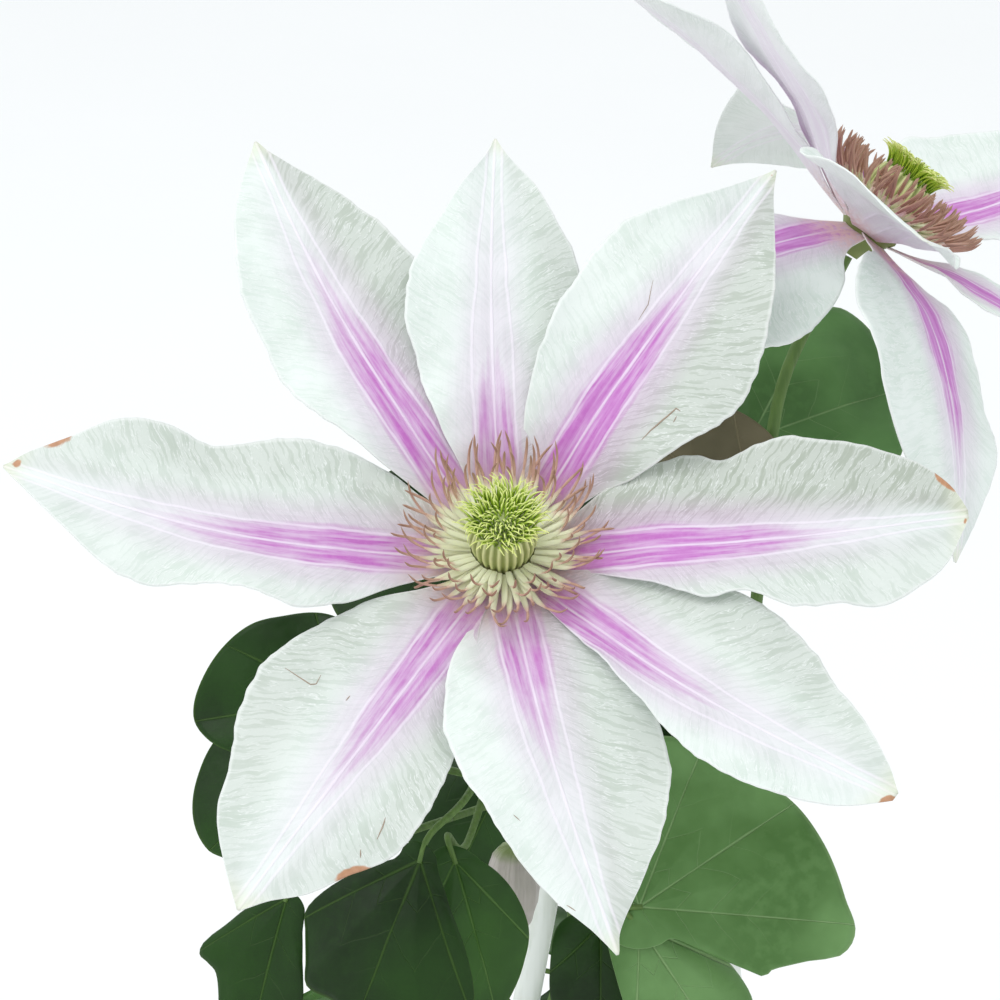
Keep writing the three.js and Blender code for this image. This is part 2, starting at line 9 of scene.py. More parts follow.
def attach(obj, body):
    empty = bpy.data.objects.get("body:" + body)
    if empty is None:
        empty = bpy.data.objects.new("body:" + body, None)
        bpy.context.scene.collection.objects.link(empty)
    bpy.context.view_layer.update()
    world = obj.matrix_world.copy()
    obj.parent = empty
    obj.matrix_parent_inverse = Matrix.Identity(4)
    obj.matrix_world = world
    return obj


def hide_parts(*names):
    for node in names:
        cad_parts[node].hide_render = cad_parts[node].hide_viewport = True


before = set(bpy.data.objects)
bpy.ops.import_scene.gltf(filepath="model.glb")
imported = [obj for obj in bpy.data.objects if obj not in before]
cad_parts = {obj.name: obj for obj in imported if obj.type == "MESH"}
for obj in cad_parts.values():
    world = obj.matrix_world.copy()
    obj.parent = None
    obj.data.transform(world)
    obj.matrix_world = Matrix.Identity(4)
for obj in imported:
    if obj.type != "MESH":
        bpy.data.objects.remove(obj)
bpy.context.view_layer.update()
mm = 0.001


# Camera: it looks down on the front bloom at 25 degrees from 45 cm away, so that the bloom nearly
# fills a square frame, as it does in the photograph.
view_tilt = math.radians(25)
view_distance = 450 * mm
frame_width = 178 * mm
aim = Vector((-33.5, -70.5, 509.7)) * mm
camera_data = bpy.data.cameras.new("camera")
camera_data.sensor_width = 36
camera_data.lens = camera_data.sensor_width * view_distance / frame_width
camera_data.clip_start = 0.01
camera = bpy.data.objects.new("camera", camera_data)
camera.rotation_euler = (math.pi / 2 - view_tilt, 0, 0)
camera.location = aim + Vector((0, -math.cos(view_tilt), math.sin(view_tilt))) * view_distance
bpy.context.scene.collection.objects.link(camera)
bpy.context.scene.camera = camera
bpy.context.scene.view_settings.view_transform = "Standard"


# Light: a bright even sky with one large soft lamp above and to the left of the camera, which
# shades the tepals gently.
def lamp(name, place, target, size, power):
    data = bpy.data.lights.new(name, "AREA")
    data.size = size
    data.energy = power
    light = bpy.data.objects.new(name, data)
    light.location = place
    light.rotation_euler = (Vector(target) - Vector(place)).to_track_quat("-Z", "Y").to_euler()
    bpy.context.scene.collection.objects.link(light)


sky_colour = (0.96, 0.985, 1, 1)
sky_strength = 0.96
world = bpy.data.worlds.new("studio")
world.use_nodes = True
sky = world.node_tree.nodes["Background"]
sky.inputs["Color"].default_value = sky_colour
sky.inputs["Strength"].default_value = sky_strength
bpy.context.scene.world = world
lamp("overhead_lamp", (-0.9, -0.3, 2.2), (0, 0, 0.45), 1.2, 11)


# Floor: a wide pale matt floor that the pot stands on. It is a flat round board, large enough to
# reach past the picture on every side.
def colour(red, green, blue):
    """A screen colour of 0 to 255 as the light values that a shader takes."""
    channels = [c / 255 for c in (red, green, blue)]
    return (*[c / 12.92 if c < 0.04045 else ((c + 0.055) / 1.055) ** 2.4 for c in channels], 1)


class Finish:
    """A surface finish whose nodes are added one by one."""

    def __init__(self, name, **settings):
        self.material = bpy.data.materials.new(name)
        self.material.use_nodes = True
        self.tree = self.material.node_tree
        self.shader = self.tree.nodes["Principled BSDF"]
        for setting, value in settings.items():
            self.put(self.shader, setting.replace("_", " "), value)

    def put(self, node, socket, value):
        if isinstance(value, bpy.types.NodeSocket):
            self.tree.links.new(value, node.inputs[socket])
        else:
            node.inputs[socket].default_value = value

    def add(self, kind, inputs, **settings):
        node = self.tree.nodes.new("ShaderNode" + kind)
        for setting, value in settings.items():
            setattr(node, setting, value)
        for socket, value in inputs.items():
            self.put(node, socket, value)
        return node

    def place(self):
        return self.add("TexCoord", {}).outputs["Object"]

    def axis(self, vector, letter):
        return self.add("SeparateXYZ", {"Vector": vector}).outputs[letter]

    def own_map(self, name):
        """The piece's own map as its X and Y."""
        drawn = self.add("UVMap", {}, uv_map=name).outputs[0]
        return self.add("SeparateXYZ", {"Vector": drawn}).outputs

    def attribute(self, name):
        return self.add("Attribute", {}, attribute_name=name).outputs["Fac"]

    def math(self, operation, a, b=0.0):
        return self.add("Math", {0: a, 1: b}, operation=operation).outputs[0]

    def rise(self, value, start, end, low=0.0, high=1.0):
        inputs = {"Value": value, "From Min": start, "From Max": end, "To Min": low, "To Max": high}
        return self.add("MapRange", inputs, interpolation_type="SMOOTHSTEP").outputs[0]

    def stretch(self, vector, scale):
        return self.add("Mapping", {"Vector": vector, "Scale": scale}).outputs[0]

    def noise(self, vector, scale, detail=3.0, roughness=0.5):
        inputs = {"Vector": vector, "Scale": scale, "Detail": detail, "Roughness": roughness}
        return self.add("TexNoise", inputs).outputs[0]

    def blend(self, share, low, high):
        node = self.add("Mix", {0: share, 6: low, 7: high}, data_type="RGBA")
        return node.outputs[2]

    def colour(self, value):
        self.put(self.shader, "Base Color", value)

    def relief(self, height, distance, strength=1.0):
        bump = self.add("Bump", {"Height": height, "Distance": distance, "Strength": strength})
        self.put(self.shader, "Normal", bump.outputs[0])


def add_piece(name, bm, *materials, smooth=True):
    """The bmesh becomes an object at the origin, with its place in its mesh."""
    mesh = bpy.data.meshes.new(name)
    bm.to_mesh(mesh)
    bm.free()
    for material in materials:
        mesh.materials.append(material)
    if smooth:
        mesh.shade_smooth()
    else:
        mesh.shade_flat()
    piece = bpy.data.objects.new(name, mesh)
    bpy.context.scene.collection.objects.link(piece)
    return piece


floor_finish = Finish("pale_floor", Roughness=0.9)
floor_radius = 14
floor_mottle = floor_finish.noise(floor_finish.place(), 3)
floor_finish.colour(floor_finish.blend(floor_mottle, colour(250, 251, 251), colour(253, 254, 254)))
floor_bm = bmesh.new()
bmesh.ops.create_circle(floor_bm, cap_ends=True, segments=64, radius=floor_radius)
floor = add_piece("floor", floor_bm, floor_finish.material)


# Pot: a plain thrown terracotta pot with a thick rolled rim and four drain holes. It is unglazed
# fired clay, turned on a wheel, so it has fine rings, and lime blooms on it near the foot.
pot_profile = [
    (0, 10), (63, 10), (85, 151), (95, 185), (102, 185), (104, 182), (103.3, 156), (100.5, 151),
    (92, 151), (72.5, 0), (68, 0), (66, 2), (0, 2),
]
drain_holes = 4
drain_ring = 38
drain_radius = 6


def spun(profile, steps):
    """A turned shape from a profile of (radius, height) in millimetres."""
    bm = bmesh.new()
    verts = [bm.verts.new((radius * mm, 0, height * mm)) for radius, height in profile]
    edges = [bm.edges.new(pair) for pair in zip(verts, verts[1:])]
    bmesh.ops.spin(
        bm, geom=verts + edges, axis=(0, 0, 1), cent=(0, 0, 0), steps=steps,
        angle=2 * math.pi, use_merge=True,
    )
    bmesh.ops.remove_doubles(bm, verts=bm.verts, dist=1e-6)
    bmesh.ops.recalc_face_normals(bm, faces=bm.faces)
    return bm


def round_edges(piece, width, segments=3, angle=28):
    bevel = piece.modifiers.new("rounded_edges", "BEVEL")
    bevel.width = width * mm
    bevel.segments = segments
    bevel.limit_method = "ANGLE"
    bevel.angle_limit = math.radians(angle)
    piece.modifiers.new("even_shading", "WEIGHTED_NORMAL")


def belongs(piece, slot, *nodes):
    """The piece moves with the plant and stands for CAD nodes. The slot is not used."""
    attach(piece, "root")
    if nodes:
        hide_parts(*nodes)


clay = Finish("terracotta", Roughness=0.86)
clay_place = clay.place()
clay_cloud = clay.noise(clay_place, 9, 5, 0.6)
clay_grain = clay.noise(clay_place, 900, 2)
clay_rings = clay.noise(clay.stretch(clay_place, (4, 4, 420)), 1, 2)
clay_tone = clay.blend(clay.rise(clay_cloud, 0.35, 0.65), colour(170, 92, 60), colour(196, 116, 80))
clay_tone = clay.blend(clay.rise(clay_grain, 0.55, 0.75, 0, 0.5), clay_tone, colour(142, 74, 48))
clay_height = clay.axis(clay_place, "Z")
lime_low = clay.rise(clay_height, 0.0, 0.12, 0.75, 0.1)
lime_spots = clay.rise(clay.noise(clay_place, 22, 6, 0.65), 0.5, 0.72)
clay_tone = clay.blend(clay.math("MULTIPLY", lime_low, lime_spots), clay_tone, colour(222, 196, 178))
clay.colour(clay_tone)
clay.relief(clay.math("ADD", clay.math("MULTIPLY", clay_rings, 0.5), clay_grain), 0.0003, 0.7)

pot_bm = spun(pot_profile, 96)
pot = add_piece("terracotta_pot", pot_bm, clay.material)
hole_bm = bmesh.new()
for number in range(drain_holes):
    bearing = math.pi * (0.25 + 2 * number / drain_holes)
    middle = Vector((math.cos(bearing), math.sin(bearing), 0)) * drain_ring * mm
    bmesh.ops.create_cone(
        hole_bm, cap_ends=True, segments=24, radius1=drain_radius * mm, radius2=drain_radius * mm,
        depth=40 * mm, matrix=Matrix.Translation(middle),
    )
hole_cutter = add_piece("drain_hole_cutter", hole_bm)
cut = pot.modifiers.new("drain_holes", "BOOLEAN")
cut.object = hole_cutter
cut.solver = "EXACT"


def apply_modifiers(piece):
    graph = bpy.context.evaluated_depsgraph_get()
    finished = bpy.data.meshes.new_from_object(piece.evaluated_get(graph))
    piece.modifiers.clear()
    piece.data = finished


apply_modifiers(pot)
bpy.data.objects.remove(hole_cutter)
round_edges(pot, 1.6)
belongs(pot, "terracotta", "pot")


# Soil: dark potting compost, heaped a little in the middle, with crumbs, bark chips and white grit
# lying on it. The stems and stakes stand in it.
soil_radius = 87
soil_edge = 164
soil_middle = 170
lump_start = 1795636209


def soil_height(x, y):
    """The height of the soil in millimetres, with its lumps."""
    away = math.hypot(x, y) / soil_radius
    heap = soil_edge + (soil_middle - soil_edge) * (1 - away * away)
    lumps = noise.fractal(Vector((x, y, 0)) / 9, 1.0, 2.0, 5)
    return heap + 1.5 * lumps


soil_finish = Finish("compost", Roughness=0.95)
soil_place = soil_finish.place()
soil_mottle = soil_finish.noise(soil_place, 260, 6, 0.7)
soil_damp = soil_finish.rise(soil_finish.noise(soil_place, 24, 3), 0.4, 0.62)
soil_tone = soil_finish.blend(soil_damp, colour(58, 43, 33), colour(80, 62, 48))
soil_tone = soil_finish.blend(soil_finish.rise(soil_mottle, 0.5, 0.75), soil_tone, colour(34, 25, 19))
soil_finish.colour(soil_tone)
soil_finish.relief(soil_mottle, 0.0015)

soil_profile = [(0, 12), (62, 12), (83, 151), (soil_radius, soil_edge)]
soil_profile += [(soil_radius * (1 - step / 44), soil_middle) for step in range(1, 45)]
soil_bm = spun(soil_profile, 150)
for vert in soil_bm.verts:
    if vert.co.z > 152 * mm:
        vert.co.z = soil_height(vert.co.x / mm, vert.co.y / mm) * mm
bmesh.ops.recalc_face_normals(soil_bm, faces=soil_bm.faces)
soil = add_piece("compost", soil_bm, soil_finish.material)
belongs(soil, "soil", "soil")


def scatter(bm, count, low, high, squash, seed):
    """Small uneven lumps strewn over the soil."""
    draw = random.Random(seed)
    for _ in range(count):
        away = (soil_radius - 4) * math.sqrt(draw.random())
        bearing = draw.uniform(0, 2 * math.pi)
        x, y = away * math.cos(bearing), away * math.sin(bearing)
        size = draw.uniform(low, high)
        turn = Matrix.Rotation(draw.uniform(0, 6.3), 4, "Z")
        turn = turn @ Matrix.Rotation(draw.uniform(-0.5, 0.5), 4, "X")
        shape = Matrix.Diagonal((size * mm, size * draw.uniform(0.5, 1) * mm, size * squash * mm, 1))
        middle = Vector((x, y, soil_height(x, y) + 0.3 * size * squash)) * mm
        lump = bmesh.ops.create_icosphere(
            bm, subdivisions=1, radius=1, matrix=Matrix.Translation(middle) @ turn @ shape,
        )
        for vert in lump["verts"]:
            vert.co += noise.noise_vector(vert.co * 700) * 0.25 * size * mm


# noise_vector starts from the clock unless it is given a start. With this one the crumbs, chips and
# grit come out the same in each run.
noise.seed_set(lump_start)
crumb_bm = bmesh.new()
scatter(crumb_bm, 900, 0.7, 2.4, 0.8, 1)
crumbs = add_piece("compost_crumbs", crumb_bm, soil_finish.material)
belongs(crumbs, "soil")

bark_finish = Finish("bark_chip", Roughness=0.9)
bark_grain = bark_finish.noise(bark_finish.stretch(bark_finish.place(), (300, 900, 300)), 1, 4, 0.6)
bark_finish.colour(bark_finish.blend(bark_grain, colour(66, 44, 30), colour(128, 92, 62)))
bark_finish.relief(bark_grain, 0.0006)
bark_bm = bmesh.new()
scatter(bark_bm, 90, 2.4, 5.5, 0.26, 2)
bark = add_piece("bark_chips", bark_bm, bark_finish.material, smooth=False)
belongs(bark, "soil")

grit_finish = Finish("white_grit", Roughness=0.8)
grit_mottle = grit_finish.noise(grit_finish.place(), 700, 2)
grit_finish.colour(grit_finish.blend(grit_mottle, colour(206, 200, 190), colour(240, 238, 232)))
grit_bm = bmesh.new()
scatter(grit_bm, 80, 0.7, 1.5, 0.9, 3)
grit = add_piece("white_grit", grit_bm, grit_finish.material)
belongs(grit, "soil")


# Stakes: three slim round garden stakes coated in white, pushed into the soil and leaning together.
# Near the soil they are splashed and a little green.
stake_feet = [(-58, -26), (38, -50), (14, 60)]
stake_radius = 3
stake_middle = Vector((0, 6))
stake_ring = 4.6
stake_top = 505
stake_buried = 110


def on_stake(index, height):
    """The middle of a stake at a height, in millimetres."""
    foot = Vector(stake_feet[index])
    top = stake_middle + (foot - stake_middle).normalized() * stake_ring
    share = (height - soil_edge) / (stake_top - soil_edge)
    middle = foot.lerp(top, share)
    return Vector((middle.x, middle.y, height))


def rod(bm, start, end, radius, segments):
    """A round rod between two points, all in millimetres."""
    middle = Matrix.Translation((start + end) / 2 * mm)
    turn = (end - start).to_track_quat("Z", "Y").to_matrix().to_4x4()
    bmesh.ops.create_cone(
        bm, cap_ends=True, segments=segments, radius1=radius * mm, radius2=radius * mm,
        depth=(end - start).length * mm, matrix=middle @ turn,
    )


coat = Finish("white_stake_coat", Roughness=0.38)
coat_place = coat.place()
coat_height = coat.axis(coat_place, "Z")
coat_streaks = coat.noise(coat.stretch(coat_place, (500, 500, 14)), 1, 3)
coat_tone = coat.blend(coat.rise(coat_streaks, 0.35, 0.7), colour(236, 241, 236), colour(222, 228, 220))
splash = coat.rise(coat.noise(coat_place, 160, 4), 0.4, 0.65)
splash = coat.math("MULTIPLY", coat.rise(coat_height, 0.3, 0.165), splash)
coat_tone = coat.blend(splash, coat_tone, colour(146, 148, 104))
coat.colour(coat_tone)
coat.relief(coat_streaks, 0.00015)
for index in range(3):
    stake_bm = bmesh.new()
    rod(stake_bm, on_stake(index, stake_buried), on_stake(index, stake_top), stake_radius, 28)
    bmesh.ops.subdivide_edges(
        stake_bm, edges=[e for e in stake_bm.edges if e.calc_length() > 0.1], cuts=12,
    )
    stake = add_piece(f"white_stake_{index + 1}", stake_bm, coat.material)
    round_edges(stake, 0.6, 2, 40)
    belongs(stake, "stake", f"stake_{index + 1}")


# Stake cap: a moulded white cap that holds the three stake tops together, with grip ribs round it.
# It is pushed down over the tops of the stakes.
cap_low = 496
cap_high = 512
grip_ribs = 24
grip_rib_ring = 10.5
grip_rib_length = 9
grip_rib_radius = 0.45
cap_profile = [
    (0, cap_low), (9.4, cap_low), (10.6, cap_low + 1), (10.6, cap_high - 5), (9.6, cap_high - 1.6),
    (6.5, cap_high - 0.3), (0, cap_high),
]
cap_finish = Finish("moulded_cap", Roughness=0.5)
cap_mottle = cap_finish.noise(cap_finish.place(), 400, 3)
cap_finish.colour(cap_finish.blend(cap_mottle, colour(226, 231, 226), colour(240, 243, 239)))
cap_finish.relief(cap_mottle, 0.0001)
cap_bm = spun(cap_profile, 72)
for number in range(grip_ribs):
    bearing = 2 * math.pi * number / grip_ribs
    foot = Vector((grip_rib_ring * math.cos(bearing), grip_rib_ring * math.sin(bearing), cap_low + 1.5))
    rod(cap_bm, foot, foot + Vector((0, 0, grip_rib_length)), grip_rib_radius, 8)
bmesh.ops.translate(cap_bm, verts=cap_bm.verts, vec=(0, stake_middle.y * mm, 0))
cap = add_piece("ribbed_stake_cap", cap_bm, cap_finish.material)
round_edges(cap, 0.3, 2, 40)
belongs(cap, "stake_cap", "stake_cap")


# Climbing stems: three slim vines that leave the soil beside the stakes and wind up them. They are
# woody and brown at the foot, green above, and swollen where the leaves stand.
stem_radius = 1.7
stem_tip_radius = 1.25
stem_offset = 6.6
stem_first_step = 212
stem_step = 24
stem_foot_heights = (146, 156, 168, 180)
wind_start = 200
vines = [
    {
        "name": "vine_1", "stake": 0, "root": (-65, -22), "turn": 136, "twist": 1.2, "leave": 380,
        "crown": [(-28, -24, 414), (-34, -42, 446), (-33, -57, 474), (-33, -71.9, 495.4)],
        "ternate": [(212, 162, 30, 50), (216, 266, 34, 48), (262, 205, 32, 46), (300, 250, 28, 44)],
        "clasps": [238, 330],
    },
    {
        "name": "vine_2", "stake": 1, "root": (47, -55), "turn": 310, "twist": 1.68, "leave": 408,
        "crown": [(18, -16, 440), (20, -15, 472), (23, -9, 506), (35.2, -3.9, 532)],
        "ternate": [(212, 12, 34, 50), (216, 285, 34, 48), (262, 330, 30, 46), (306, 38, 26, 44)],
        "clasps": [240, 350],
    },
    {
        "name": "vine_3", "stake": 2, "root": (14, 70), "turn": 84, "twist": 0.54, "leave": 380,
        "crown": [(-6, 30, 412), (-24, 26, 438), (-38, 18, 452)],
        "ternate": [
            (212, 50, 34, 50), (216, 132, 34, 50), (262, 95, 28, 46), (312, 170, 28, 44),
            (356, 125, 24, 42),
        ],
        "clasps": [240, 332],
    },
]


def smooth_course(points, steps):
    """Points on a smooth curve through the given ones, with so many steps to each stretch."""
    given = [Vector(p) for p in points]
    ends = [2 * given[0] - given[1], *given, 2 * given[-1] - given[-2]]
    course = []
    for a, b, c, d in zip(ends, ends[1:], ends[2:], ends[3:]):
        for step in range(steps):
            t = step / steps
            bend = (2 * a - 5 * b + 4 * c - d) * t * t + (3 * b - a - 3 * c + d) * t * t * t
            course.append(0.5 * (2 * b + (c - a) * t + bend))
    return [*course, given[-1]]


def add_rods(name, courses, roundness, material):
    """Round rods, each along a course of (point, radius) in millimetres, in one mesh."""
    curve = bpy.data.curves.new(name, "CURVE")
    curve.dimensions = "3D"
    curve.bevel_depth = 1
    curve.bevel_resolution = roundness
    curve.use_fill_caps = True
    for course in courses:
        spline = curve.splines.new("POLY")
        spline.points.add(len(course) - 1)
        for spot, (point, radius) in zip(spline.points, course):
            spot.co = (*(Vector(point) * mm), 1)
            spot.radius = radius * mm
        spline.use_smooth = True
    drawn = bpy.data.objects.new(name + "_course", curve)
    bpy.context.scene.collection.objects.link(drawn)
    graph = bpy.context.evaluated_depsgraph_get()
    mesh = bpy.data.meshes.new_from_object(drawn.evaluated_get(graph))
    bpy.data.objects.remove(drawn)
    mesh.materials.clear()
    mesh.materials.append(material)
    piece = bpy.data.objects.new(name, mesh)
    bpy.context.scene.collection.objects.link(piece)
    return piece


def tapered(points, start, end):
    """A course whose radius runs from start to end."""
    last = len(points) - 1
    return [(point, start + (end - start) * i / last) for i, point in enumerate(points)]


def wind_turn(vine, height):
    return math.radians(vine["turn"] + vine["twist"] * (height - wind_start))


def beside_stake(index, height, bearing, distance):
    return on_stake(index, height) + Vector((math.cos(bearing), math.sin(bearing), 0)) * distance


def on_stem(vine, height):
    return beside_stake(vine["stake"], height, wind_turn(vine, height), stem_offset)


def stem_course(vine):
    course = [Vector((*vine["root"], height)) for height in stem_foot_heights]
    height = stem_first_step
    while height <= vine["leave"]:
        course.append(on_stem(vine, height))
        height += stem_step
    return smooth_course([*course, *vine["crown"]], 8)


def swollen(course, joints):
    """A stem with a low swelling at each leaf."""
    thick = []
    for point, radius in tapered(course, stem_radius, stem_tip_radius):
        nearest = min((abs(point.z - height) for height in joints), default=99)
        thick.append((point, radius * (1 + 0.45 * math.exp(-((nearest / 3) ** 2)))))
    return thick


stem_finish = Finish("climbing_stem", Roughness=0.55)
stem_place = stem_finish.place()
stem_up = stem_finish.axis(stem_place, "Z")
stem_lines = stem_finish.noise(stem_finish.stretch(stem_place, (900, 900, 60)), 1, 3)
stem_green = stem_finish.blend(stem_lines, colour(62, 92, 36), colour(104, 136, 62))
stem_brown = stem_finish.blend(stem_lines, colour(92, 66, 44), colour(138, 106, 74))
stem_woody = stem_finish.rise(stem_up, 0.33, 0.19)
stem_finish.colour(stem_finish.blend(stem_woody, stem_green, stem_brown))
stem_finish.relief(stem_lines, 0.0004)
stem_courses = {}
for vine in vines:
    stem_courses[vine["name"]] = stem_course(vine)
    joints = [leaf[0] for leaf in vine["ternate"]]
    vine_stem = add_rods(
        f"{vine['name']}_stem", [swollen(stem_courses[vine["name"]], joints)], 4, stem_finish.material,
    )
    belongs(vine_stem, "leaf", vine["name"])


# Twining leaf stalks: thin green stalks that wind once round a stake and so hold each stem to it.
# They grow from the stem at each clasp.
clasp_distance = 4.1
clasp_courses = []
for vine in vines:
    for height in vine["clasps"]:
        points = [on_stem(vine, height)]
        for step in range(9):
            bearing = wind_turn(vine, height) + 2 * math.pi * (step + 0.8) / 10
            points.append(beside_stake(vine["stake"], height + 1 + 1.1 * step, bearing, clasp_distance))
        clasp_courses.append(tapered(smooth_course(points, 4), 0.75, 0.45))
clasps = add_rods("twining_leaf_stalks", clasp_courses, 2, stem_finish.material)
belongs(clasps, "leaf")


# Ternate leaves: three pointed leaflets on one stalk, dark green, with a pale midrib and side veins,
# a slightly waved margin and a soft shine. Their stalks grow out of the stem.
leaf_arch = 0.16
leaflet_turn = 76
leaf_thickness = 0.3
map_unit = 100


def smooth(start, end, value):
    t = min(max((value - start) / (end - start), 0), 1)
    return t * t * (3 - 2 * t)


def map_layer(bm, name):
    return bm.loops.layers.uv.get(name) or bm.loops.layers.uv.new(name)


def add_blade(bm, across, along, place):
    """A sheet with u from -1 to 1 across it and s from 0 to 1 along it. For each corner place gives
    its point, its distance from the midrib and from the root, and a pair of its own."""
    flat = map_layer(bm, "flat")
    share = map_layer(bm, "share")
    made = bmesh.ops.create_grid(bm, x_segments=across, y_segments=along, size=1)
    spots = {}
    for vert in made["verts"]:
        u, s = vert.co.x, (vert.co.y + 1) / 2
        point, spots[vert] = place(u, s)
        vert.co = point * mm
    for face in {face for vert in made["verts"] for face in vert.link_faces}:
        face.smooth = True
        for loop in face.loops:
            (aside, run), own = spots[loop.vert]
            loop[flat].uv = (aside / map_unit, run / map_unit)
            loop[share].uv = own


def leaf_frame(base, tip, face):
    start = Vector(base)
    along = Vector(tip) - start
    length = along.length
    along.normalize()
    up = Vector(face)
    up = (up - up.dot(along) * along).normalized()
    return start, along, up, along.cross(up), length


def leaflet(bm, base, tip, face, half, notch, seed):
    """A pointed leaflet, heart-shaped at its root, arched, and folded a little along its midrib."""
    start, along, up, across, length = leaf_frame(base, tip, face)
    power = math.log(0.5) / math.log(0.36 + 0.08 * 0.64)

    def place(u, s):
        swell = math.sin(math.pi * min(0.08 + 0.92 * s, 1) ** power) ** 0.85
        bite = 1 - notch * math.exp(-(((s - 0.62) / 0.1) ** 2))
        tooth = 1 + 0.018 * math.sin(34 * s + seed) + 0.03 * math.sin(11 * s + 2 * seed + u)
        aside = u * (half * swell * bite * tooth + 0.2)
        back = 0.14 * length * u * u * (1 - s) ** 2
        ruffle = 0.075 * half * u * u * math.sin(13 * s + 3 * u + seed)
        quilt = 0.25 * math.sin(5 * math.pi * (s * 1.6 - 0.5 * abs(u))) * (1 - abs(u)) * min(abs(u) * 5, 1)
        rise = 0.12 * abs(u) * half + ruffle + quilt + leaf_arch * length * s * (1 - s)
        run = s * length - back
        return start + along * run + across * aside + up * rise, ((aside, run), (u, s))

    add_blade(bm, 16, 26, place)


def leaf_green(name, dark, light, vein, gloss, vein_share=0.4):
    """Leaf colour from the distance to the midrib and along it: veins, blotches and a pale edge."""
    finish = Finish(name, Roughness=gloss, Specular_IOR_Level=0.28)
    flat = finish.own_map("flat")
    share = finish.own_map("share")
    aside = finish.math("MULTIPLY", finish.math("ABSOLUTE", flat["X"]), map_unit)
    run = finish.math("MULTIPLY", flat["Y"], map_unit)
    edge = finish.math("ABSOLUTE", share["X"])
    place = finish.place()
    wander = finish.math("SUBTRACT", finish.noise(place, 90, 2), 0.5)
    bent = finish.math("ADD", aside, finish.math("MULTIPLY", wander, 0.5))
    midrib = finish.rise(bent, finish.rise(run, 50, 0, 0.16, 0.42), 0.05)
    slant = finish.math("SUBTRACT", run, finish.math("MULTIPLY", aside, 0.8))
    slant = finish.math("ADD", slant, finish.math("MULTIPLY", wander, 3))
    side_vein = finish.rise(finish.math("PINGPONG", slant, 3.4), 0.2, 0.03)
    side_vein = finish.math("MULTIPLY", side_vein, finish.rise(edge, 0.9, 0.3, 0, 0.45))
    veins = finish.math("MAXIMUM", midrib, side_vein)
    blotch = finish.rise(finish.noise(place, 38, 4), 0.32, 0.68)
    fleck = finish.rise(finish.noise(place, 420, 3), 0.35, 0.7, 0, 0.3)
    tone = finish.blend(finish.math("MAXIMUM", blotch, fleck), dark, light)
    tone = finish.blend(finish.math("MULTIPLY", veins, vein_share), tone, vein)
    tone = finish.blend(finish.rise(edge, 0.98, 1.0, 0, 0.35), tone, vein)
    finish.colour(tone)
    swell = finish.math("SUBTRACT", finish.noise(place, 170, 3), finish.math("MULTIPLY", veins, 0.5))
    finish.relief(swell, 0.0005, 0.8)
    return finish.material


leaf_top = leaf_green("leaf_top", colour(30, 64, 14), colour(52, 94, 28), colour(104, 140, 70), 0.45)
leaf_back = leaf_green("leaf_back", colour(80, 108, 58), colour(104, 132, 78), colour(150, 172, 118), 0.6)
# The darkest leaf green is painted shade: it goes on the leaves that lie in shadow under and behind the
# front bloom.
leaf_painted_shade = leaf_green("leaf_painted_shade", colour(12, 40, 0), colour(28, 66, 4), colour(84, 118, 44), 0.45, 0.3)
leaf_soft = leaf_green("leaf_soft", colour(62, 98, 48), colour(88, 130, 72), colour(140, 172, 116), 0.5, 0.5)
leaf_mid = leaf_green("leaf_mid", colour(78, 118, 58), colour(114, 156, 94), colour(160, 190, 134), 0.4)
# The dull olive-brown leaf green is painted shade for a leaf that lies in shadow.
leaf_dull_painted_shade = leaf_green("leaf_dull_painted_shade", colour(84, 80, 58), colour(116, 108, 84), colour(140, 130, 100), 0.6)


def thicken(piece, thickness):
    shell = piece.modifiers.new("blade_thickness", "SOLIDIFY")
    shell.thickness = thickness * mm
    shell.offset = 0
    shell.material_offset = 1


stalk_courses = []
for vine in vines:
    leaflet_bm = bmesh.new()
    for number, (height, bearing, reach, size) in enumerate(vine["ternate"]):
        start = on_stem(vine, height)
        out = Vector((math.cos(math.radians(bearing)), math.sin(math.radians(bearing)), 0))
        hub = start + out * reach + Vector((0, 0, 0.45 * reach))
        middle = start.lerp(hub, 0.5) + Vector((0, 0, 3))
        for side in (-1, 0, 1):
            way = Matrix.Rotation(math.radians(side * leaflet_turn), 3, "Z") @ out
            way.z = -0.3
            length = size * (0.84 if side else 1)
            root = hub + way * (11 if side else 18)
            tip = root + way * length
            stalk_end = root + way.normalized() * 1.5
            leaflet(leaflet_bm, root, tip, (0, 0, 1), 0.38 * length, 0 if side else 0.16, number + side)
            points = [hub, stalk_end] if side else [start, middle, hub, stalk_end]
            thickness = 0.7 if side else 1
            stalk_courses.append(tapered(smooth_course(points, 6), thickness, 0.45))
    leaflets = add_piece(f"{vine['name']}_leaflets", leaflet_bm, leaf_top, leaf_back)
    thicken(leaflets, leaf_thickness)
    belongs(leaflets, "leaf")
leaf_stalks = add_rods("leaflet_stalks", stalk_courses, 2, stem_finish.material)
belongs(leaf_stalks, "leaf")
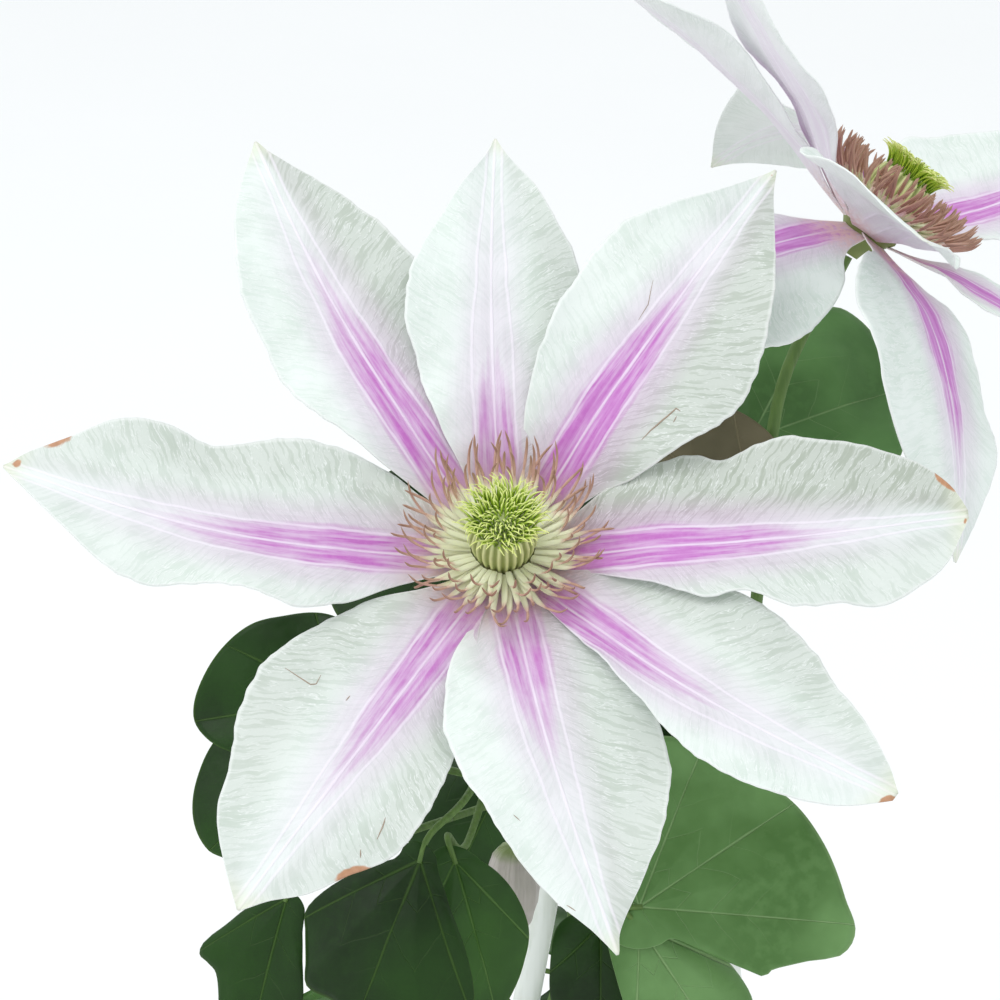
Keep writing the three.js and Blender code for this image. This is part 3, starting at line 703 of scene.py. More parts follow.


# Lobed leaves: the broad leaves under and behind the blooms, from a very dark green to middle green. The
# very dark green is painted shade on the leaves that lie in shadow under and behind the front bloom, and the
# dull olive-brown leaf is painted shade too. Each spreads from the end of its stalk, with a pale vein out to
# each lobe. Margins are (bearing, reach).
under_margin = [(-178, 10), (-110, 22), (-50, 27), (0, 31), (50, 27), (110, 22)]
lobed_leaves = {
    "right_leaf": {
        "vine": "vine_2", "stalk": [(16, -20, 398), (6, -52, 414)], "base": (-7, -76, 427),
        "tip": (34, -81, 431), "face": (0.1, -0.8, 0.6), "veins": [-5, 33, 68, 105, 150],
        "finish": leaf_mid,
        "margin": [
            (-178, 9), (-120, 8), (-60, 8), (-40, 9.5), (-34, 15.5), (-31, 22), (-30, 26), (-25, 27.6),
            (-18, 33), (-14, 38.4), (-7, 40.6), (2, 38.7), (19, 36.8), (32, 35.5), (55, 32.5), (81, 33),
            (110, 28), (150, 16),
        ],
    },
    "lower_right_leaf": {
        "vine": "vine_2", "stalk": [(17, -22, 392), (4, -54, 406)], "base": (-7, -77, 423.4),
        "tip": (13, -88, 400), "face": (0.1, -0.8, 0.5), "veins": [-4, 28, -40], "finish": leaf_mid,
        "margin": [
            (-178, 4), (-120, 6), (-72, 9), (-47, 16), (-38, 25.6), (-21, 32.7), (3, 31.4), (19, 26.3),
            (28, 20.5), (36, 15), (60, 8), (120, 4),
        ],
    },
    "lower_left_leaf": {
        "vine": "vine_1", "stalk": [(-34, -44, 450), (-39, -75, 452)], "base": (-48, -89, 446),
        "tip": (-60, -110, 416), "face": (-0.2, -0.75, 0.6), "veins": [-4, 36, -48], "finish": leaf_painted_shade,
        "margin": [
            (-178, 3), (-120, 4), (-75, 5), (-65, 10.5), (-58, 17.5), (-51, 23.6), (-43, 25.6), (-33, 28.4),
            (-26, 31), (-15, 29.9), (6, 32.8), (25, 34), (39, 26.8), (45, 18), (50, 10), (70, 4.5), (120, 3),
        ],
    },
    "middle_left_leaf": {
        "vine": "vine_1", "stalk": [(-34, -40, 442), (-40, -62, 432)], "base": (-42, -77, 438),
        "tip": (-33, -92, 405), "face": (0.2, -0.8, 0.5), "veins": [2, 30, -40], "finish": leaf_top,
        "margin": [
            (-178, 3), (-110, 5), (-70, 8), (-40, 22), (-16, 33.3), (-7, 35.7), (5, 30), (21, 24.3),
            (32, 20.5), (44, 14.7), (58, 9.1), (75, 5), (120, 3),
        ],
    },
    "far_left_leaf": {
        "vine": "vine_1", "stalk": [(-31, -28, 424), (-55, -60, 432)], "base": (-73, -85, 435),
        "tip": (-86, -97, 410), "face": (-0.3, -0.75, 0.55), "veins": [10, -35], "finish": leaf_painted_shade,
        "margin": [
            (-178, 2), (-120, 3), (-70, 5), (-55, 7), (-47, 10.6), (-42, 14), (-38.5, 18.6), (-34, 20.6),
            (-28, 20), (-20, 20), (-11, 23.5), (-4, 29), (10, 32.6), (27, 27.5), (37, 18.7), (43, 11),
            (55, 6.5), (90, 4), (140, 2),
        ],
    },
    "upper_left_leaf": {
        "vine": "vine_1", "stalk": [(-33, -35, 434), (-50, -48, 450)], "base": (-64, -60, 463),
        "tip": (-93, -62, 462), "face": (-0.2, -0.8, 0.55), "veins": [-30, 4, -78, 60], "finish": leaf_painted_shade,
        "margin": [
            (-178, 6), (-120, 12), (-84, 17), (-60, 19.5), (-44, 22.3), (-16, 26.1), (2, 27.9),
            (13, 25.8), (30, 20), (70, 14), (130, 8),
        ],
    },
    "lower_lobe_leaf": {
        "vine": "vine_1", "stalk": [(-32, -30, 428), (-50, -44, 440)], "base": (-66, -55, 450),
        "tip": (-90, -66, 438), "face": (-0.2, -0.75, 0.6), "veins": [6, -40, 50], "finish": leaf_painted_shade,
        "margin": [
            (-178, 5), (-110, 10), (-60, 18), (-28, 25.7), (-9, 29.9), (5, 30.8), (14, 29.3),
            (27, 27.6), (48, 20), (80, 12), (130, 7),
        ],
    },
    "bottom_leaf": {
        "vine": "vine_2", "stalk": [(17, -24, 384), (2, -50, 398)], "base": (-14, -69, 418),
        "tip": (-15, -80, 390), "face": (0, -0.8, 0.5), "veins": [2, 44, -44], "finish": leaf_painted_shade,
        "margin": [
            (-178, 3), (-120, 5), (-89, 8), (-47, 13), (-15, 23.6), (2, 30.5), (19, 25.7), (44, 14.4),
            (83, 8), (130, 4),
        ],
    },
    "back_right_leaf": {
        "vine": "vine_2", "stalk": [(20, -15, 470), (17, -6, 482)], "base": (18, -1, 491),
        "tip": (54, 4, 492), "face": (0, -0.7, 0.7), "veins": [16, 56, -20, 110], "finish": leaf_soft,
        "margin": [
            (-178, 8), (-55, 7), (-22, 20), (-11, 31.5), (3, 31), (22, 34.8), (34, 38.6), (49, 39),
            (58, 35), (75, 28), (95, 21), (130, 14),
        ],
    },
    # A leaf in shadow, with its shade painted into a dull olive-brown green.
    "dull_shaded_leaf": {
        "vine": "vine_2", "stalk": [(20, -15, 470), (17, -18, 479)], "base": (16, -22, 485),
        "tip": (-6, -20, 501), "face": (0, -0.8, 0.6), "veins": [0, 50, -50], "finish": leaf_dull_painted_shade,
        "margin": [(-178, 8), (-90, 14), (-40, 22), (0, 27), (40, 22), (90, 14)],
    },
    "inner_leaf": {
        "vine": "vine_2", "stalk": [(17, -22, 412), (12, -38, 414)], "base": (4, -46, 420),
        "tip": (4, -38, 452), "face": (0, -0.9, 0.4), "veins": [0, 50, -50], "finish": leaf_painted_shade,
        "margin": [(-178, 6), (-110, 10), (-50, 19), (0, 33), (50, 19), (110, 10)],
    },
    "shaded_leaf": {
        "vine": "vine_3", "stalk": [(-8, 30, 415), (-18, 28, 412)], "base": (-28, 21, 407),
        "tip": (-47, 4, 375), "face": (-0.2, -0.75, 0.6), "veins": [0, 48, -48], "finish": leaf_painted_shade,
        "margin": [(-178, 6), (-110, 11), (-48, 26), (0, 41), (48, 26), (110, 11)],
    },
    "left_under_leaf": {
        "vine": "vine_1", "stalk": [(-33, -56, 470), (-33.4, -60, 477)], "base": (-35, -58.3, 493.7),
        "tip": (-61, -64.8, 489.2), "face": (0, -0.574, 0.819), "veins": [0, 50, -50], "finish": leaf_painted_shade,
        "margin": under_margin,
    },
    "right_under_leaf": {
        "vine": "vine_1", "stalk": [(-33, -55, 466), (-32.4, -58, 473)], "base": (-31, -56.8, 490.7),
        "tip": (-6, -51.8, 494.2), "face": (0, -0.574, 0.819), "veins": [0, 50, -50], "finish": leaf_painted_shade,
        "margin": under_margin,
    },
}


def reach_at(margin, bearing):
    """The reach of a leaf at a bearing: a smooth curve through the margin's points."""
    count = len(margin)
    index = max(i for i in range(count) if margin[i][0] <= bearing)
    spots = [margin[(index + step) % count] for step in (-1, 0, 1, 2)]
    at = [spots[1][0] + (spot[0] - spots[1][0] + 180) % 360 - 180 for spot in spots]
    span = at[2] - at[1]
    t = (bearing - at[1]) / span
    start_slope = (spots[2][1] - spots[0][1]) / (at[2] - at[0]) * span
    end_slope = (spots[3][1] - spots[1][1]) / (at[3] - at[1]) * span
    a, b = spots[1][1], spots[2][1]
    rise = (3 * (b - a) - 2 * start_slope - end_slope) * t * t
    return a + start_slope * t + rise + (start_slope + end_slope - 2 * (b - a)) * t ** 3


def lobed_leaf(bm, base, tip, face, veins, margin, seed):
    """A leaf that spreads from its base. Its flat map is measured from the nearest main vein."""
    start, along, up, across, length = leaf_frame(base, tip, face)
    flat = map_layer(bm, "flat")
    share = map_layer(bm, "share")
    made = bmesh.ops.create_grid(bm, x_segments=180, y_segments=22, size=1)
    spots = {}
    for vert in made["verts"]:
        bearing = 2 - 179.95 * vert.co.x
        t = (vert.co.y + 1) / 2
        reach = reach_at(margin, bearing) * t
        near = min(abs((bearing - vein + 180) % 360 - 180) for vein in veins)
        gap = reach * math.sin(math.radians(min(near, 60)))
        ripple = 0.05 * reach * t * math.sin(math.radians(bearing) * 5 + seed)
        fold = 0.2 * gap * (1 - 0.6 * t) - 0.10 * reach * t * t
        turn = math.radians(bearing)
        spot = Vector((reach * math.cos(turn), reach * math.sin(turn), 40 * seed))
        rise = fold + ripple + 0.9 * noise.noise(spot / 9) * t
        vert.co = (start + along * reach * math.cos(turn) - across * reach * math.sin(turn) + up * rise) * mm
        spots[vert] = (bearing, reach, t)
    faces = {face for vert in made["verts"] for face in vert.link_faces}
    for face in faces:
        face.smooth = True
        middle = sum(spots[vert][0] for vert in face.verts) / len(face.verts)
        vein = min(veins, key=lambda v: abs((middle - v + 180) % 360 - 180))
        for loop in face.loops:
            bearing, reach, t = spots[loop.vert]
            away = math.radians((bearing - vein + 180) % 360 - 180)
            loop[flat].uv = Vector((math.sin(away), math.cos(away))) * reach / map_unit
            loop[share].uv = (t, t)
    bmesh.ops.remove_doubles(bm, verts=made["verts"], dist=0.02 * mm)


lobed_stalks = []
for number, (name, leaf) in enumerate(lobed_leaves.items()):
    lobed_bm = bmesh.new()
    lobed_leaf(lobed_bm, leaf["base"], leaf["tip"], leaf["face"], leaf["veins"], leaf["margin"], number)
    lobed = add_piece(name, lobed_bm, leaf["finish"], leaf_back)
    thicken(lobed, leaf_thickness)
    belongs(lobed, "leaf")
    start, along, up, _, _ = leaf_frame(leaf["base"], leaf["tip"], leaf["face"])
    way = (along + up * leaf_arch).normalized()
    goal = Vector(leaf["stalk"][0])
    root = min(stem_courses[leaf["vine"]], key=lambda point: (point - goal).length)
    points = [root, *leaf["stalk"][1:], start - way * 5, start + way * 0.6]
    lobed_stalks.append(tapered(smooth_course(points, 6), 0.85, 0.5))
lobed_leaf_stalks = add_rods("lobed_leaf_stalks", lobed_stalks, 3, stem_finish.material)
belongs(lobed_leaf_stalks, "leaf")


# Buds: two closed flower buds, one hanging under the front bloom and one at the back. Each is a
# ribbed spindle of wrapped tepals, downy, pinkish grey with a green foot.
bud_ribs = 8
bud_rows = [
    ("nodding_bud", "bud_1", (-30.4, -48, 423), (0.02, -0.15, -1), 21, 11.5),
    ("upright_bud", "bud_2", (-38.3, 17.8, 452.4), (-0.5, -0.3, 0.8), 24, 12),
]
bud_profile = [
    (0, 0.1), (0.02, 0.3), (0.1, 0.41), (0.2, 0.46), (0.42, 0.5), (0.6, 0.45), (0.74, 0.36),
    (0.86, 0.23), (0.95, 0.12), (1, 0.01),
]


def pointing(centre, facing):
    """A function that places (x, y, z) in a frame whose z looks along facing."""
    toward = Vector(facing).normalized()
    sideways = Vector((0, 1, 0)).cross(toward).normalized()
    upward = toward.cross(sideways)
    origin = Vector(centre)
    return lambda x, y, z: origin + sideways * x + upward * y + toward * z


def add_tube(bm, around, along, place):
    """A closed tube: place gives the point for an angle round it and a share along it."""
    share = map_layer(bm, "share")
    made = bmesh.ops.create_grid(bm, x_segments=around, y_segments=along, size=1)
    spots = {}
    for vert in made["verts"]:
        turn, s = math.pi * (vert.co.x + 1), (vert.co.y + 1) / 2
        spots[vert] = (turn / (2 * math.pi), s)
        vert.co = place(turn % (2 * math.pi - 1e-6), s) * mm
    for face in {face for vert in made["verts"] for face in vert.link_faces}:
        face.smooth = True
        for loop in face.loops:
            loop[share].uv = spots[loop.vert]
    seam = [vert for vert in made["verts"] if spots[vert][0] in (0, 1)]
    bmesh.ops.remove_doubles(bm, verts=seam, dist=0.001 * mm)


def between(rows, s):
    """The value at s of a row of (s, value), eased from one to the next."""
    for (start, low), (end, high) in zip(rows, rows[1:]):
        if s <= end:
            return low + (high - low) * smooth(start, end, s)
    return rows[-1][1]


bud_skin = Finish("bud_skin", Roughness=0.7, Sheen_Weight=0.3)
bud_share = bud_skin.own_map("share")
bud_lines = bud_skin.stretch(bud_skin.add("UVMap", {}, uv_map="share").outputs[0], (60, 3, 1))
bud_lines = bud_skin.noise(bud_lines, 1)
bud_tone = bud_skin.blend(bud_lines, colour(184, 176, 168), colour(216, 206, 204))
bud_tone = bud_skin.blend(bud_skin.rise(bud_share["Y"], 0.14, 0.0), bud_tone, colour(140, 160, 92))
bud_tip = bud_skin.rise(bud_share["Y"], 0.75, 1.0, 0, 0.6)
bud_tone = bud_skin.blend(bud_tip, bud_tone, colour(206, 178, 186))
bud_skin.colour(bud_tone)
bud_skin.relief(bud_lines, 0.0003)
for name, node, base, facing, length, width in bud_rows:
    bud_bm = bmesh.new()
    bud_at = pointing(base, facing)

    def bud_point(turn, s):
        rib = 1 - 0.09 * abs(math.sin(turn * bud_ribs / 2 + 1.4 * s)) ** 0.6
        radius = width * between(bud_profile, s) * rib
        lean = 0.6 * math.sin(math.pi * s)
        return bud_at(radius * math.cos(turn) + lean, radius * math.sin(turn), length * s)

    add_tube(bud_bm, 64, 36, bud_point)
    bud = add_piece(name, bud_bm, bud_skin.material)
    belongs(bud, "bud", node)
bud_stalk = smooth_course([(-34, -42, 446), (-31, -49, 440), (-30.4, -48.4, 431), (-30.4, -48, 422.6)], 8)
nodding_stalk = add_rods("bud_stalk", [tapered(bud_stalk, 1.1, 1.3)], 3, stem_finish.material)
belongs(nodding_stalk, "bud")


# Tepals: each bloom has eight broad pointed ones, thin and slightly waxy. Three nerves run down the
# middle, with a mauve bar between them that fades towards the tip, and feathery veins run from them
# to the crinkled margin. They are fused at the receptacle and lap over one another.
tepal_root = 3
tepal_thickness = 0.28
# Half-widths in millimetres at shares of the length, left and right of each midrib.
front_margins = [
    ([(0, 2.7), (0.15, 6.7), (0.3, 11.5), (0.45, 15), (0.55, 15.5), (0.65, 13.9), (0.75, 10.5), (0.85, 6.4),
      (0.95, 1.5), (1, 0.2)],
     [(0, 2.7), (0.15, 6.2), (0.3, 10.9), (0.45, 14.9), (0.57, 16.5), (0.65, 16.1), (0.75, 12.5),
      (0.85, 8.1), (0.95, 2.4), (1, 0.2)]),
    ([(0, 2.7), (0.18, 9), (0.25, 12), (0.35, 15), (0.45, 16.8), (0.57, 18), (0.65, 17.6), (0.7, 16.3),
      (0.8, 10.2), (0.9, 4.8), (1, 0.2)],
     [(0, 2.7), (0.17, 8.6), (0.23, 12.6), (0.33, 17.5), (0.4, 20.2), (0.49, 21), (0.6, 18.5), (0.72, 14),
      (0.85, 7.5), (0.94, 2.6), (1, 0.2)]),
    ([(0, 2.7), (0.15, 10.2), (0.3, 15.8), (0.4, 18.6), (0.47, 17.3), (0.55, 19.4), (0.61, 20), (0.67, 18.8),
      (0.75, 17.8), (0.84, 15.2), (0.91, 11.6), (0.97, 6), (1, 1.2)],
     [(0, 2.7), (0.15, 4.3), (0.3, 7.4), (0.42, 11.2), (0.5, 11.2), (0.6, 14.6), (0.7, 14.2), (0.8, 15.3),
      (0.87, 13.1), (0.94, 9), (1, 0.6)]),
    ([(0, 2.7), (0.15, 8.3), (0.3, 14.7), (0.45, 19), (0.55, 20), (0.65, 18.9), (0.75, 14.8), (0.85, 10.1),
      (0.95, 4.3), (1, 0.6)],
     [(0, 2.7), (0.15, 3), (0.3, 4.6), (0.45, 7.2), (0.6, 9.8), (0.68, 10.6), (0.76, 10.8), (0.85, 9.2),
      (0.93, 6.2), (1, 1)]),
    ([(0, 2.7), (0.15, 8), (0.3, 14.3), (0.45, 18.6), (0.57, 19.2), (0.65, 17.8), (0.75, 14.3), (0.85, 8.4),
      (0.95, 1.8), (1, 0.2)],
     [(0, 2.7), (0.15, 9), (0.3, 14), (0.45, 16.3), (0.55, 15.2), (0.65, 13.2), (0.75, 10.9), (0.85, 7.3),
      (0.95, 2.2), (1, 0.2)]),
    ([(0, 2.7), (0.15, 4.3), (0.3, 8.3), (0.45, 13.1), (0.57, 15.5), (0.7, 16.1), (0.76, 14.8), (0.81, 11.8),
      (0.9, 7.7), (0.96, 2.8), (1, 0.2)],
     [(0, 2.7), (0.15, 9.3), (0.27, 15.6), (0.4, 20.4), (0.53, 22.4), (0.65, 20.5), (0.75, 16.4),
      (0.85, 12.8), (0.93, 6.8), (1, 0.2)]),
    ([(0, 2.7), (0.15, 6.6), (0.27, 11), (0.36, 13.6), (0.43, 12.2), (0.52, 11.3), (0.6, 12.5), (0.67, 13.7),
      (0.75, 12.4), (0.85, 7.8), (0.93, 3.9), (1, 0.2)],
     [(0, 2.7), (0.15, 12.5), (0.3, 18.5), (0.42, 21), (0.5, 20), (0.6, 17.2), (0.7, 18.3), (0.8, 15.7),
      (0.87, 10.6), (0.95, 5), (1, 0.2)]),
    ([(0, 2.7), (0.15, 6), (0.3, 11), (0.42, 15.3), (0.55, 15.2), (0.65, 14.9), (0.75, 12.3), (0.85, 9.2),
      (0.93, 4.8), (1, 0.2)],
     [(0, 2.7), (0.15, 9), (0.3, 14.9), (0.45, 18.2), (0.55, 18.2), (0.65, 16.1), (0.75, 13.2), (0.85, 8.4),
      (0.95, 2.2), (1, 0.2)]),
]
# Bearing, length, bow to the left, lift over the tepals below, slope at the root and at the tip,
# tilt about the midrib, and cup: how far the margins bend up as a share of the width.
front_courses = [
    (91, 80.4, 1.3, 3.6, (22, -4), 0, 0), (55, 87.4, -0.8, 4.8, (22, -4), 0, 0),
    (0, 79, -4, 3.6, (22, -4), 0, 0), (321, 81, -5.2, 2.4, (22, -4), 0, 0),
    (283, 79, -2, 1.2, (22, -4), 0, 0), (239, 81, 1.2, 0, (22, -4), 0, 0),
    (173, 87, 7.6, 1.2, (22, -4), 0, 0), (120, 92, 4.5, 2.4, (22, -4), 0, 0),
]
# Whether the left and the right margin lie under a neighbour.
front_under = [(0, 1), (0, 0), (1, 0), (1, 0), (1, 0), (1, 1), (0, 1), (0, 1)]
back_widths = [(15, 15), (25, 14), (18, 18), (12, 12), (10.5, 13.5), (26, 15), (12, 24), (14, 30)]
back_courses = [
    (350, 78, 0, 1.2, (11, -6), -14, 0), (45, 80, 0, 2.4, (20, 46), 0, 0),
    (112, 62, 0, 1.2, (46, -70), 0, 0), (172, 86, 0, 2.4, (12, -4), -9, 0.15),
    (196.5, 86, 0, 3.6, (18, 20), -5, 0), (219, 82, 0, 0, (-26, -60), 0, 0),
    (262, 54, 0, 3, (8, 0), 0, 0), (299, 77, 0, 2.4, (-10, -50), 0, 0),
]
even_margin = [(0, 0.16), (0.15, 0.38), (0.3, 0.77), (0.45, 0.98), (0.55, 1), (0.7, 0.84), (0.85, 0.48),
               (0.95, 0.17), (1, 0.01)]


def even_margins(widths):
    return [[(s, share * width) for s, share in even_margin] for width in widths]


# Painted shade: how grey the left and the right half of each tepal is, for the halves that lie in shade.
front_shade = [
    (0.05, 0.1), (0.15, 0.75), (0.9, 0.4), (0.3, 0.1), (0.55, 0.05), (0.35, 0.1), (0.2, 0.4), (0.05, 0.7),
]
# For each tepal, depth is how strong its mauve bar is, and reach how far the bar runs out. For the
# whole bloom, edge_rise is how far free margins bend up in millimetres, crowd how dense the stamens
# stand and stoutness how thick their anthers are, both against bloom 1.
front_bloom = {
    "name": "front_bloom", "node": "bloom_1", "centre": (-33, -75, 500), "facing": (0, -0.574, 0.819),
    "courses": front_courses, "margins": front_margins, "under": front_under, "edge_rise": 1.6,
    "shade": front_shade, "crowd": 1, "stoutness": 1,
    "depth": [0.8, 1.1, 1.15, 0.95, 0.8, 0.9, 0.95, 0.9],
    "reach": [0.62, 0.95, 1, 0.85, 0.8, 1, 0.95, 0.95],
}
back_bloom = {
    "name": "back_bloom", "node": "bloom_2", "centre": (38.5, -3, 536.5), "facing": (0.601, 0.156, 0.784),
    "courses": back_courses, "margins": [even_margins(widths) for widths in back_widths],
    "edge_rise": 0, "under": [(0, 0)] * 8, "shade": [(0.1, 0.1)] * 8,
    "depth": [1.2] * 8, "reach": [1.1] * 8, "crowd": 1.6, "stoutness": 1.4,
}
# Brown spots on the front tepals: the tepal, u, s, their reach in u and in s, and how dark.
brown_spots = [
    (6, 0.98, 0.9, 0.2, 0.04, 0.7), (6, 0.5, 0.975, 0.5, 0.014, 0.7), (3, 0.8, 0.992, 0.7, 0.014, 1),
    (2, -1, 0.955, 0.22, 0.022, 1), (5, -1, 0.815, 0.13, 0.035, 1), (2, 0.5, 0.992, 0.5, 0.008, 0.6),
    (1, -0.05, 0.985, 0.5, 0.01, 0.5),
]


def flowing(rows, s):
    """A smooth curve through rows of (s, value)."""
    index = next((i for i in range(len(rows) - 2) if s <= rows[i + 1][0]), len(rows) - 2)
    (a, low), (b, high) = rows[index], rows[index + 1]
    before = rows[index - 1] if index else rows[0]
    after = rows[index + 2] if index + 2 < len(rows) else rows[-1]
    span = b - a
    leave = (high - before[1]) / (b - before[0]) * span
    arrive = (after[1] - low) / (after[0] - a) * span
    t = (s - a) / span
    swing = (3 * (high - low) - 2 * leave - arrive) * t * t
    return low + leave * t + swing + (leave + arrive - 2 * (high - low)) * t ** 3


def tepal_surface(bloom, index):
    """A function of u across and s along that gives the point, the map and the share."""
    turn, length, bow, lift, (start, end), tilt, cup = bloom["courses"][index]
    left, right = bloom["margins"][index]
    under = bloom["under"][index]
    at = pointing(bloom["centre"], bloom["facing"])
    first, bend = math.radians(start), math.radians(end - start)
    bearing = math.radians(turn)

    def place(u, s):
        angle = first + bend * s
        out = tepal_root + length * (math.sin(angle) - math.sin(first)) / bend
        up = length * (math.cos(first) - math.cos(angle)) / bend
        half = flowing(right if u > 0 else left, s)
        lap = 9 if u > 0 else 0
        crinkle = 0.35 * noise.noise(Vector((s * length / 2.2, index * 7 + lap, 1)))
        crinkle += 0.5 * noise.noise(Vector((s * length / 6, index * 5 + lap, 4)))
        inner = smooth(0.15, 0.4, s) * math.sin(math.pi * min(s, 0.999))
        half *= 0.82 + 0.18 * smooth(0.08, 0.24, s)
        aside = u * (half + crinkle * u * u * inner)
        edge = u * u * smooth(0.12, 0.4, s) * math.sin(math.pi * min(s, 1)) ** 0.5
        phase = 2.3 * s + 0.37 * index + (0.25 if u > 0 else 0)
        wave = 1.3 * edge * math.sin(2 * math.pi * phase)
        gutter = 1.5 * abs(u) * smooth(0, 0.3, s) * (1 - s)
        arch = smooth(0.12, 0.4, s) * math.sin(math.pi * min(s, 1))
        gutter += (-1.2 * abs(u) if under[u > 0] else bloom["edge_rise"] * u * u) * arch
        roll = math.radians(tilt) * smooth(0.05, 0.35, s)
        gutter += aside * math.sin(roll) + cup * u * u * half
        flank = 2.6 + 1.1 * smooth(0, 0.2, s) - 2.4 * smooth(0.35, 1, s)
        rib = -0.35 * math.exp(-((aside / 1.6) ** 2))
        rib -= 0.25 * math.exp(-(((abs(aside) - flank) / 0.9) ** 2))
        spot = Vector((aside, s * length, 31 * index))
        pucker = 0.9 * noise.noise(spot / 11) + 0.5 * noise.noise(spot / 5) + 0.12 * noise.noise(spot / 2)
        fine = (rib + pucker * min(1, 0.3 + abs(u))) * smooth(0.05, 0.25, s) * (1 - 0.7 * s)
        up += lift * smooth(0.05, 0.35, s) + wave + gutter + fine
        side = bow * math.sin(math.pi * s) - aside * math.cos(roll)
        x = out * math.cos(bearing) - side * math.sin(bearing)
        y = out * math.sin(bearing) + side * math.cos(bearing)
        return at(x, y, up), ((aside, s * length), (u, s))

    return place


